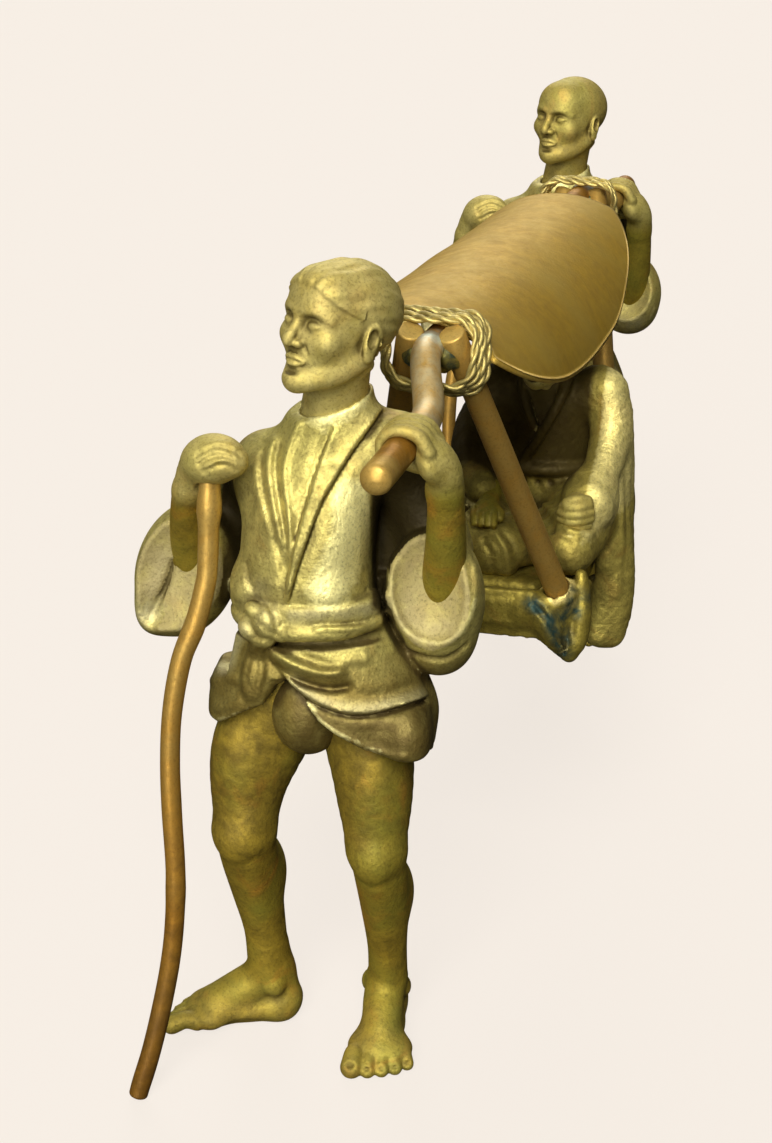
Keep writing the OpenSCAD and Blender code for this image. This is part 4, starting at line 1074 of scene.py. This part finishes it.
# ---------------------------------------------------------------- pole, struts, ropes
PX, PZ, MX, MZ0, MZ1 = 14.1, 133.4, 9.6, 141.0, 139.0
run = [(PX, -27.4, PZ), (PX, -20, PZ), (PX, -10, PZ), (PX, -2, PZ), (PX, 4.6, PZ), (13.2, 10, 134.9), (10.6, 17.4, 139.4), (MX, 22.6, MZ0), (MX, 30, 140.9)]
run += [(MX, y, MZ0 + (MZ1 - MZ0) * (y - 23) / 157) for y in range(44, 176, 16)]
run += [(MX, 180.4, MZ1), (10.6, 184.6, 138.1), (13, 191.4, 134.6), (PX, 195.2, PZ), (PX, 202, PZ), (PX, 211, PZ), (PX, 219.2, PZ)]
q = curve(run, 5)
r = 2.88 + wob(len(q), 9, 0.05)
V, Q = tube(np.column_stack([q, r]), 28, (0, 0, 1), 0.55)
end = lambda y, a, b: np.clip((y - a) / 6, 0, 1) * np.clip((b - y) / 5, 0, 1)
pale = np.maximum(0.7 * np.maximum(end(V[:, 1], -12, 27), end(V[:, 1], 176, 206)), 0.75 * np.clip((-21.5 - V[:, 1]) / 4, 0, 1))
verd = np.maximum(0.9 * np.maximum(end(V[:, 1], 17, 29), end(V[:, 1], 173, 185)), 0.26 * end(V[:, 1], -9, 24))
piece(made("carrying_pole", V, Q, ROD, {"pale": pale, "verd": verd}), "litter", "rod_bronze", "pole")

STRUTS = {}
for side, sn in ((1, "left"), (-1, "right")):
    for back, bn in ((False, "front"), (True, "rear")):
        top = np.array([MX + side * 3.95, 176.0 if back else 25.0, MZ1 + 1.2 if back else MZ0 + 3.0])
        foot = np.array([MX + side * (18.0 if back else 20.3), 130.0 if back else 58.0, 78.6])
        u = (foot - top) / np.linalg.norm(foot - top)
        STRUTS[bn, sn] = (top, foot, u)
        V, Q = flat_tube(top, foot + 6.9 * u, 2.60, 20 + side + 3 * back)
        along = (V - top) @ u
        pale = np.where(along < 0.22, 1.0, np.clip(0.85 - along / 12, 0.5, 0.7))
        verd = np.clip(1 - np.abs(along - 5.5) / 4.5, 0, 1) * np.clip((MX - V[:, 0]) * side / 2.0 + 1.6, 0, 1) * 0.9
        piece(made(f"strut_{bn}_{sn}_rod", V, Q, ROD, {"pale": pale, "verd": verd}), "litter", "rod_bronze", f"strut_{bn}_{sn}")

for name, y, z in (("front_solder", 26.2, MZ0 - 3.4), ("rear_solder", 174.4, MZ1 - 3.4)):
    v = Vol((0, y - 6, z - 6), (20, y + 6, z + 7), 0.35)
    v.add(chain([(MX - 4.3, y, z + 1.2, 1.9), (MX, y + 0.4, z - 0.2, 2.1), (MX + 4.3, y, z + 1.2, 1.9)]), 0)
    v.add(ell((MX + 3.2, y - 0.6, z + 2.0), (2.0, 2.2, 2.4)), 1.2).add(ell((MX - 3.2, y - 0.6, z + 2.0), (2.0, 2.2, 2.4)), 1.2)
    v.push((0, y - 6, z - 6), (20, y + 6, z + 7), lambda X, Y, Z: 0.22 * np.sin(2.1 * X + Z) * np.sin(2.4 * Y + 0.8 * Z))
    V, Q, A = v.mesh(2)
    A["verd"] = np.full(len(V), 0.95)
    piece(made(name, V, Q, SEAT, A), "litter", "rod_bronze")

for name, node, turns in (("front_binding", "front_rope", ((28.2, 146.5, 131.6, 9.9, 5, 3.0), (26.9, 146.5, 132.4, 9.5, 6, 3.0), (25.5, 146.3, 133.2, 8.9, 9, 3.0), (24.2, 145.9, 133.9, 8.3, 10, 3.0))),
                          ("rear_binding", "rear_rope", ((172.8, 143.2, 130.0, 9.4, 7), (174.2, 143.4, 130.8, 9.0, 8), (175.6, 143.2, 131.8, 8.6, 11)))):
    V, Q = joined([part for t in turns for part in rope_turn(*t)])
    piece(made(name, V, Q, ROPE), "litter", "rope_bronze", node)


# ---------------------------------------------------------------- roof sheet
def roof_sheet():
    """A thin bowed sheet with rounded corners, a little twisted, laid over the pole."""
    half, R, t = 24.76, 27.04, 1.1

    def place(lx, y, up):
        k = (y - 30.0) / 123.0
        lean = np.radians(14.0 * (1 - k))
        c, s = np.cos(lean), np.sin(lean)
        wave = 0.16 * np.sin(0.11 * y + 0.6) * np.sin(0.16 * lx + 0.4) + 0.07 * np.sin(0.23 * y + 0.12 * lx)
        r = R + up + wave
        px, pz = r * lx / R, r * np.sqrt(np.maximum(1 - (lx / R) ** 2, 0.01)) - R
        return np.stack([MX + c * px + s * pz, y, 145.2 - 0.69 * k - s * px + c * pz], -1)

    n = 200
    a = np.arange(n) * 2 * math.pi / n
    front = np.sin(a) < 0
    e, b = np.where(front, 2.95, 2.14), np.where(front, 66.0, 72.0)
    rx = half * np.sign(np.cos(a)) * np.abs(np.cos(a)) ** (2 / e)
    ry = 90 + b * np.sign(np.sin(a)) * np.abs(np.sin(a)) ** (2 / e)
    ry = np.minimum(np.maximum(ry, np.interp(rx, [12.0, 13.2], [29.6, 26.4])), 153.4)
    rho = 1 - (1 - np.linspace(0.03, 1, 34)) ** 1.25
    rings = [(q, 0.0) for q in rho[:-1]] + [(1 - 0.35 / 26, 0.0), (1 - 0.1 / 26, -0.12), (1.0, -0.4), (1.0, -t + 0.4), (1 - 0.1 / 26, -t + 0.12), (1 - 0.35 / 26, -t)] + [(q, -t) for q in rho[-2::-1]]
    V = np.concatenate([place(q * rx, 90 + q * (ry - 90), u) for q, u in rings])
    m, j = len(rings), np.arange(n)
    Q = [np.stack([i * n + j, (i + 1) * n + j, (i + 1) * n + (j + 1) % n, i * n + (j + 1) % n], 1) for i in range(m - 1)]
    h = n // 2
    for base, turn in ((0, 1), ((m - 1) * n, -1)):
        for k in range(h - 1):
            f = [base + k, base + k + 1, base + n - 2 - k, base + n - 1 - k]
            Q.append(np.array([f[::turn]]))
    rim = np.repeat([np.clip((q - 0.94) / 0.06, 0, 1) for q, u in rings], n)
    under = np.repeat([0.25 if u < -t / 2 else 0.0 for q, u in rings], n)
    return V, np.concatenate(Q), {"edge": 0.25 + 0.3 * rim, "dark_patina_and_shade": under}


V, Q, A = roof_sheet()
piece(made("roof_sheet", V, Q, ROOF, A), "litter", "roof_bronze", "roof")


# ---------------------------------------------------------------- seat tray with curled rim and corner ears
def seat_tray():
    v = Vol((-22, 46, 56), (42, 146, 92), 0.45)
    a, b = 20.6, 18.2

    def floor(X, Y, Z):
        hw = np.interp(Y.ravel(), [53, 135], [a, b]).astype(F32)[None, :, None]
        q = np.maximum(np.abs(X - MX) - hw, np.abs(Y - 94) - 40)
        sag = 0.9 * np.cos((X - MX) / 14.0) * np.cos((Y - 94) / 30.0)
        return np.maximum(q, np.abs(Z - (71.6 - sag)) - 1.5)

    v.add(((-14, 50, 66), (32, 138, 76), floor))
    # full rounded rails, the front one like a roll of cloth
    v.add(block((MX, 55.8, 75.8), (a - 2.0, 2.6, 4.2), 2.4), 1.4)
    v.add(chain([(MX - a + 5, 55.0, 79.4, 0.9), (MX, 54.6, 79.7, 0.9), (MX + a - 6, 55.0, 79.9, 0.9)]), 0.7)
    v.add(block((MX, 133.2, 75.4), (b - 2.0, 2.4, 3.8), 2.2), 1.4)
    v.add(chain([(MX - b + 5, 134.0, 78.8, 0.9), (MX, 134.4, 79.0, 0.9), (MX + b - 5, 134.0, 78.8, 0.9)]), 0.7)
    for s in (-1, 1):
        v.add(chain([(MX + s * a, 57, 73.4, 2.2), (MX + s * b, 131, 73.4, 2.2)], 1), 1.2)
        v.add(chain([(MX + s * a, 57, 76.4, 2.2), (MX + s * (a + b) / 2, 94, 75.8, 2.2), (MX + s * b, 131, 76.4, 2.2)]), 2.2)
        v.cut(chain([(MX + s * (a + 2.6), 70, 73.2, 0.5), (MX + s * (b + 2.9), 120, 73.2, 0.5)], 1), 0.9)
    crease = []
    for (bn, sn), (top, foot, u) in STRUTS.items():
        side = 1 if sn == "left" else -1
        fb = 1 if bn == "front" else -1
        off = lambda x, y, z: foot + np.array([side * x, fb * y, z])
        # the corner is folded up round the foot like a wrapped cloth, and ends below in a blunt point
        v.add(chain([(*off(-7.0, -2.6, -2.6), 3.0), (*off(-3.4, -2.9, -2.0), 3.3), (*off(-0.4, -2.8, -7.4), 3.1), (*off(2.2, -1.0, -12.2), 1.9)]), 1.4)
        v.add(chain([(*off(3.9, 2.2, 4.6), 1.3), (*off(4.4, 1.2, 1.6), 1.8), (*off(4.6, 0.0, -4.0), 2.2), (*off(4.2, -0.8, -9.0), 2.1), (*off(2.8, -1.0, -12.4), 1.7)]), 0.9)
        v.add(chain([(*off(4.2, 5.5, 1.0), 1.6), (*off(3.0, 5.0, -4.0), 2.4), (*off(1.8, 2.0, -9.5), 2.0)]), 1.4)
        v.add(cone(foot - 0.9 * u, 3.95, foot + 6 * u, 4.2), 1.0)
        c1 = [(*off(3.3, -2.6, 2.6), 0.5), (*off(3.0, -4.2, -2.0), 0.75), (*off(2.2, -4.4, -6.4), 0.75), (*off(1.6, -3.0, -11.4), 0.4)]
        c2 = [(*off(-5.4, -5.6, 0.6), 0.4), (*off(-3.4, -5.8, -0.8), 0.7), (*off(-0.6, -6.0, -4.0), 0.55), (*off(1.4, -4.8, -8.4), 0.35)]
        for c in (c1, c2):
            v.cut(chain(c), 0.7)
            crease.append(curve(c, 6)[:, :3])
        v.cut(cone(foot - 8 * u, 3.1, foot + 0.4 * u, 2.75), 0.3)
        e1 = np.cross(u, [0, 0, 1.0])
        e1 /= np.linalg.norm(e1)
        e2 = np.cross(u, e1)
        lip = [(*(foot - 1.2 * u + 3.45 * (e1 * math.cos(k) + e2 * math.sin(k))), 0.75) for k in np.linspace(0, 2 * math.pi, 25)]
        v.add(chain(lip, 1), 0.5)
        crease.append(np.array([(*(foot + 1.2 * u + 4.6 * (e1 * math.cos(k) + e2 * math.sin(k))),) for k in np.linspace(0, 2 * math.pi, 25)]))
    # hammered skin
    v.push((-22, 46, 56), (42, 146, 92), lambda X, Y, Z: 0.05 * np.sin(1.9 * X + 0.8 * np.sin(1.1 * Y)) * np.sin(1.7 * Y + 0.9 * np.sin(1.3 * Z + X)) + 0 * Z)
    V, Q, A = v.mesh(2)
    vd = np.full(len(V), 9.0)
    for p in np.concatenate(crease):
        vd = np.minimum(vd, np.linalg.norm(V - p[None], axis=1))
    A["verd"] = np.clip(1.45 - vd / 2.0, 0, 1)
    return V, Q, A


V, Q, A = seat_tray()
piece(made("seat_basket", V, Q, SEAT, A), "litter", "seat_bronze", "seat")


def cushion():
    v = Vol((-9, 58, 68), (29, 133, 84), 0.5)
    v.add(block((9.6, 95.6, 75.6), (15.6, 33.0, 3.6), 2.6), 0)
    v.push((-9, 58, 68), (29, 133, 84), lambda X, Y, Z: -0.5 * np.cos((X - 9.6) / 9.0) * np.cos((Y - 95.6) / 21.0) + 0.12 * np.sin(1.6 * X) * np.sin(1.6 * Y) + 0 * Z)
    for s in (-1, 1):
        v.add(chain([(9.6 + s * 15.4, 64, 75.4, 0.8), (9.6 + s * 15.6, 95, 75.4, 0.8), (9.6 + s * 15.4, 127, 75.4, 0.8)]), 0.5)
    return v.mesh(2)


V, Q, A = cushion()
piece(made("seat_pad", V, Q, SEAT, A), "litter", "seat_bronze", "seat_cushion")


# ---------------------------------------------------------------- passenger
def passenger_robe():
    v = Vol((-8, 56, 46), (46, 120, 124), 0.45)
    v.add(loft([(78, 16.5, 101, 14.5, 13.0), (86, 16.8, 101, 13.4, 12.2), (94, 17.2, 100, 12.0, 10.6), (102, 17.8, 98.6, 12.2, 9.4), (109, 18.4, 97, 12.4, 8.2), (113, 18.6, 95.4, 9.6, 7.0), (116.5, 18.8, 93.6, 6.2, 5.8), (118, 18.9, 93, 5.4, 5.4)]), 0)
    v.add(ell((28.6, 96, 112.4), (5.4, 6.2, 5.6)), 3)
    v.add(ell((8.2, 97, 111.4), (5.6, 6.2, 5.6)), 3)
    # crossed legs under the robe
    v.add(chain([(10, 100, 86, 8.2), (5.5, 84, 85.6, 7.2), (8.0, 71, 84.8, 6.0)]), 3)
    v.add(ell((13.4, 68.5, 83.6), (7.0, 5.8, 6.4), rot(z=-12)), 2.0)
    v.add(chain([(24, 100, 86, 8.2), (29.2, 84, 86, 7.2), (29.2, 70, 85.0, 5.8)]), 3)
    v.add(ell((18.0, 78, 83.6), (12.5, 9.5, 5.6)), 3)
    v.cut(chain([(20.4, 62, 86, 0.7), (20.0, 72, 90.0, 1.1), (18, 88, 91.5, 0.8)]), 1.5)
    for x0, x1 in ((3.5, 12), (9, 15), (30, 21), (26, 18)):
        v.cut(chain([(x0, 68, 88.5, 0.3), (0.5 * (x0 + x1), 78, 91.6, 0.55), (x1, 90, 92.5, 0.3)]), 1.0)
    # left arm in a long sleeve that hangs outside the tray
    v.add(chain([(30.6, 94.4, 114, 5.0), (33.2, 92.4, 108, 4.6), (33.8, 88, 102, 4.4), (33.0, 81, 97.0, 4.0), (31.8, 76.5, 94.4, 3.4)]), 2.0)
    v.add(chain([(33.0, 93, 114, 4.0), (34.6, 92, 107, 3.8), (35.4, 91.8, 100, 3.4), (36.0, 91.6, 93, 2.8), (36.2, 91.5, 87, 2.7), (36.2, 91.5, 80, 3.6), (36.3, 91.5, 72, 4.4), (36.3, 91.5, 63, 4.2), (35.6, 91.4, 56.6, 3.6)]), 1.5)
    v.add(chain([(34.6, 97, 108, 3.0), (35.8, 98.0, 96, 2.6), (36.2, 97.4, 82, 2.8), (36.4, 96.4, 70, 3.4), (36.0, 95.4, 60, 3.0)]), 1.5)
    v.cut(chain([(38.2, 94.6, 106, 0.4), (39.2, 94.8, 94, 0.5), (39.6, 94.6, 80, 0.6), (40.6, 94.2, 62, 0.4)]), 1.0)
    v.cut(chain([(33.4, 88.0, 96, 0.4), (34.4, 88.4, 86, 0.6), (34.6, 87.6, 74, 0.6), (34.6, 87.6, 62, 0.3)]), 1.0)
    v.add(chain([(35.6, 88.6, 104, 0.9), (36.8, 88.6, 92, 1.0), (37.4, 88.2, 80, 1.1), (37.2, 87.6, 68, 1.0)]), 0.9)
    v.add(chain([(32.8, 91, 94, 3.0), (33.2, 91, 80, 3.3), (33.4, 91, 68, 3.2), (33.8, 91, 60, 2.6)]), 1.5)
    # wide cuff of the left sleeve, open round the hand
    v.add(ell(spot(590, 500, 80), (6.4, 6.0, 7.2), rot(y=-8)), 2.0)
    v.add(ell(spot(588, 506, 76), (5.6, 3.6, 5.6)), 1.4)
    v.add(chain([(32.6, 82, 95, 3.2), (33.0, 85, 89, 3.4), (33.6, 88, 83, 3.4), (34.6, 88.5, 76, 3.2)]), 1.5)
    v.add(chain([(34.6, 88.6, 80, 2.9), (34.5, 89, 72, 2.9), (33.8, 90, 65, 3.4), (33.3, 90, 57.2, 3.7)]), 1.5)
    # right arm, in the lap
    v.add(chain([(8.0, 96.4, 112, 5.2), (3.6, 91, 104, 5.0), (4.2, 83, 97.4, 4.6), (8.2, 76.5, 94.2, 3.4)]), 2.0)
    v.add(ell((4.6, 84, 92.4), (4.2, 6.0, 5.0)), 2.0)
    # lapels, sash
    v.add(chain([(24.2, 91.0, 118, 1.3), (22.6, 87.4, 112, 1.3), (18.6, 87.6, 104, 1.2), (14.5, 89.6, 97, 1.0)]), 0.8)
    v.add(chain([(13.6, 91.6, 117.4, 1.2), (14.8, 88.2, 112, 1.2), (17.0, 87.8, 106, 1.0)]), 0.8)
    v.cut(chain([(25.8, 90.4, 116.6, 0.4), (24.0, 87.4, 110.6, 0.5), (20.0, 87.6, 102.6, 0.5), (16.4, 89.2, 96.4, 0.4)]), 0.6)
    v.add(chain([(17.2 + 12.2 * math.cos(t), 100 + 10.8 * math.sin(t), 95.4, 1.5) for t in np.linspace(0, 2 * math.pi, 33)], 1), 1.0)
    v.add(chain([(24.4, 93.4, 118.6, 1.2), (19, 99.4, 119.0, 1.3), (13.4, 93.8, 118.2, 1.2)]), 0.9)
    for x in (10, 17, 24):
        v.cut(chain([(x, 106 - abs(x - 17) * 0.2, 112, 0.3), (x, 110, 102, 0.6), (x - 1, 112.8, 90, 0.4)]), 1.0)
    v.cut(ell((18.8, 91.6, 119.6), (4.6, 4.6, 3.4)), 0.5)
    v.push((-8, 56, 46), (46, 120, 124), lambda X, Y, Z: 0.07 * np.sin(2.3 * X + 1.1 * np.sin(1.4 * Z)) * np.sin(2.1 * Z + np.sin(1.7 * Y)) + 0 * Y)
    v.emboss((-8, 56, 78), (34, 86, 99), [
        ([(538, 499), (556, 515), (566, 527), (585, 533), (606, 537)], 0.7, 4.2),
        ([(534, 508), (550, 523), (560, 534), (576, 540)], -0.3, 3.6),
        ([(488, 524), (503, 543), (509, 562), (508, 584)], 0.6, 4.5),
        ([(500, 530), (513, 548), (520, 572)], -0.5, 3.4),
        ([(482, 536), (492, 558), (496, 582)], -0.45, 3.4),
    ])
    # flat where it sits on the pad
    v.cut(block((9.6, 95, 74.6), (22.5, 60, 4.4), 0.5), 0.6)
    return v.mesh(2)


V, Q, A = passenger_robe()
A["dust"] = np.zeros(len(V))
x, y, z = V.T
# painted highlight on the outer side of the passenger's left arm and sleeve
A["edge"] = np.maximum(A["edge"], 0.68 * np.clip((x - 30.5) / 2, 0, 1) * np.clip((z - 82) / 8, 0, 1))
A["olive"] = np.where(x > 32, 0.0, 0.2)
# painted shade on the front of the passenger's body under the roof
A["dark_patina_and_shade"] = np.maximum(A["dark_patina_and_shade"], 0.95 * np.clip((30.5 - x) / 3, 0, 1) * np.clip((y - 76) / 5, 0, 1) * np.clip((102 - y) / 5, 0, 1) * np.clip((z - 92) / 3, 0, 1))
piece(made("passenger_gown", V, Q, GOWN, A), "litter", "robe_bronze", "passenger_robe")
V, Q, A = set_head("combed", 0.86, (19.0, 87.6, 127.6), -12, 14, (18.8, 92.0, 116.4), 5.0)
piece(made("passenger_face", V, Q, SKIN, A), "litter", "skin_bronze", "passenger_head")


def small_hand(c, side):
    v = Vol(np.array(c) - 9, np.array(c) + 9, 0.3)
    c = np.array(c, float)
    v.add(chain([(*(c + [0, 6.5, 2.2]), 2.0), (*(c + [0, 2.5, 0.8]), 2.1), (*(c + [0, 0, 0]), 2.4)]), 0)
    v.add(ell(c + [-side * 0.4, -1.0, -0.2], (2.9, 3.0, 1.7)), 0.8)
    for i in range(4):
        x = (i - 1.5) * 1.45
        v.add(chain([(*(c + [x, -2.2, 0.2]), 0.95), (*(c + [x - side * 0.5, -4.4, -0.3]), 0.9), (*(c + [x - side * 0.9, -6.0, -1.6]), 0.8)]), 0.25)
    v.add(chain([(*(c + [-side * 2.2, 0.0, 0]), 1.1), (*(c + [-side * 3.6, -1.8, -0.4]), 0.95), (*(c + [-side * 3.8, -3.6, -1.0]), 0.8)]), 0.4)
    return v.mesh(1)


def small_fist(c):
    v = Vol(np.array(c) - 10, np.array(c) + 10, 0.3)
    c = np.array(c, float)
    v.add(chain([(*(c + [0.8, 8.0, 3.0]), 2.6), (*(c + [0.4, 3.5, 1.0]), 3.2), (*(c + [0, 1.0, 0.2]), 3.4)]), 0)
    v.add(ell(c + [0, -0.4, -0.2], (3.9, 3.0, 3.5)), 1.4)
    for i in range(4):
        z = 2.0 - 1.5 * i
        w = math.sqrt(max(1 - ((z + 0.2) / 4.6) ** 2, 0.1))
        v.add(chain([(*(c + [3.4 * w, -0.8 * w, z]), 0.9), (*(c + [1.2 * w, -3.0 * w, z - 0.1]), 1.0), (*(c + [-1.4 * w, -3.0 * w, z - 0.3]), 1.0), (*(c + [-3.2 * w, -1.4 * w, z - 0.5]), 0.9)]), 0.22)
    v.add(chain([(*(c + [2.4, -0.6, 3.0]), 1.2), (*(c + [0.4, -2.0, 3.5]), 1.2), (*(c + [-1.8, -2.2, 2.8]), 1.0)]), 0.8)
    V, Q, A = v.mesh(2)
    A["pale"] = np.full(len(V), 0.45)
    return V, Q, A


for nm, c, fn, node in (("passenger_hand_left", (30.2, 71.6, 93.0), small_fist, "passenger_left_hand"), ("passenger_hand_right", (10.4, 71.4, 92.0), lambda c: small_hand(c, -1), "passenger_right_hand")):
    V, Q, A = fn(c)
    piece(made(nm, V, Q, SKIN, A), "litter", "skin_bronze", node)

# pins, stud and nut stay as built
for n in ("front_bearer_pins", "rear_bearer_pins", "strut_pins", "passenger_stud", "passenger_nut"):
    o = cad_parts[n]
    o.data.materials.clear()
    o.data.materials.append(PIN)

# ---------------------------------------------------------------- stage: floor, light, camera
sc = bpy.context.scene
me = bpy.data.meshes.new("floor")
me.from_pydata([(-9, -9, 0), (9, -9, 0), (9, 9, 0), (-9, 9, 0)], [], [(0, 1, 2, 3)])
floor = bpy.data.objects.new("floor", me)
sc.collection.objects.link(floor)
fm = bpy.data.materials.new("floor_paint")
fm.use_nodes = True
fb = fm.node_tree.nodes["Principled BSDF"]
fb.inputs["Base Color"].default_value = (0.08, 0.074, 0.0675, 1)
fb.inputs["Roughness"].default_value = 0.9
fb.inputs["Specular IOR Level"].default_value = 0.0
fb.inputs["Emission Color"].default_value = (1.0, 0.925, 0.845, 1)
fb.inputs["Emission Strength"].default_value = 0.82
me.materials.append(fm)
floor.visible_glossy = False
floor.visible_diffuse = False
me = bpy.data.meshes.new("surround")
ring = [(8 * math.cos(e) * math.cos(a), 8 * math.cos(e) * math.sin(a), 8 * math.sin(e)) for e in np.radians([-1.0, 15, 30, 45, 60, 75, 88]) for a in np.arange(48) * math.pi / 24]
me.from_pydata(ring, [], [(i * 48 + j, i * 48 + (j + 1) % 48, (i + 1) * 48 + (j + 1) % 48, (i + 1) * 48 + j) for i in range(6) for j in range(48)] + [tuple(range(288, 336))])
surround = bpy.data.objects.new("surround", me)
sc.collection.objects.link(surround)
sm = bpy.data.materials.new("surround_paint")
sm.use_nodes = True
sb = sm.node_tree.nodes["Principled BSDF"]
sb.inputs["Base Color"].default_value = (0.0, 0.0, 0.0, 1)
sb.inputs["Specular IOR Level"].default_value = 0.0
sb.inputs["Emission Color"].default_value = (0.922, 0.847, 0.776, 1)
sb.inputs["Emission Strength"].default_value = 1.0
me.materials.append(sm)
surround.visible_glossy = False
surround.visible_diffuse = False
surround.visible_shadow = False

# soft sky: bright above, dim towards the ground
w = bpy.data.worlds.new("studio")
sc.world = w
w.use_nodes = True
wn, wl = w.node_tree.nodes, w.node_tree.links
tc = wn.new("ShaderNodeTexCoord")
sx = wn.new("ShaderNodeSeparateXYZ")
rp = wn.new("ShaderNodeValToRGB")
mr = wn.new("ShaderNodeMapRange")
mr.inputs["From Min"].default_value = -1.0
wl.new(tc.outputs["Generated"], sx.inputs[0])
wl.new(sx.outputs["Z"], mr.inputs["Value"])
wl.new(mr.outputs["Result"], rp.inputs["Fac"])
el = rp.color_ramp.elements
el[0].position, el[0].color = 0.0, (0.03, 0.027, 0.02, 1)
el[1].position, el[1].color = 1.0, (0.28, 0.276, 0.265, 1)
for pos, col in ((0.46, (0.03, 0.027, 0.02, 1)), (0.56, (0.06, 0.058, 0.052, 1)), (0.75, (0.14, 0.137, 0.13, 1))):
    e = el.new(pos)
    e.color = col
wl.new(rp.outputs["Color"], wn["Background"].inputs["Color"])
wn["Background"].inputs["Strength"].default_value = 1.0


def lamp(name, kind, loc, target, power, size, color=(1, 1, 1)):
    d = bpy.data.lights.new(name, kind)
    d.angle = size
    d.energy = power
    d.color = color
    o = bpy.data.objects.new(name, d)
    o.location = loc
    o.rotation_euler = (Vector(target) - Vector(loc)).to_track_quat("-Z", "Y").to_euler()
    sc.collection.objects.link(o)
    return o


lamp("key", "SUN", (0.115, -0.705, 0.70), (0, 0, 0), 3.7, math.radians(30), (1.0, 0.98, 0.93))
lamp("fill", "SUN", (-0.06, -0.92, 0.20), (0, -0.05, 0.08), 2.4, math.radians(32), (1.0, 0.99, 0.96))
lamp("back", "SUN", (-0.25, 0.9, 0.8), (0, 0.05, 0.1), 1.4, math.radians(34))

cam_d = bpy.data.cameras.new("photo_view")
cam_d.sensor_width = 36.0
cam_d.lens = 36.0 * FOCAL / 1143.0
cam_d.clip_start = 0.01
cam = bpy.data.objects.new("photo_view", cam_d)
M = Matrix.Identity(4)
for i in range(3):
    M[i][0], M[i][1], M[i][2] = C_R[i], C_U[i], -C_F[i]
    M[i][3] = (CAM[i] + (OX, OY, 0.0)[i]) / 1000.0
cam.matrix_world = M
sc.collection.objects.link(cam)
sc.camera = cam
sc.view_settings.view_transform = "Standard"
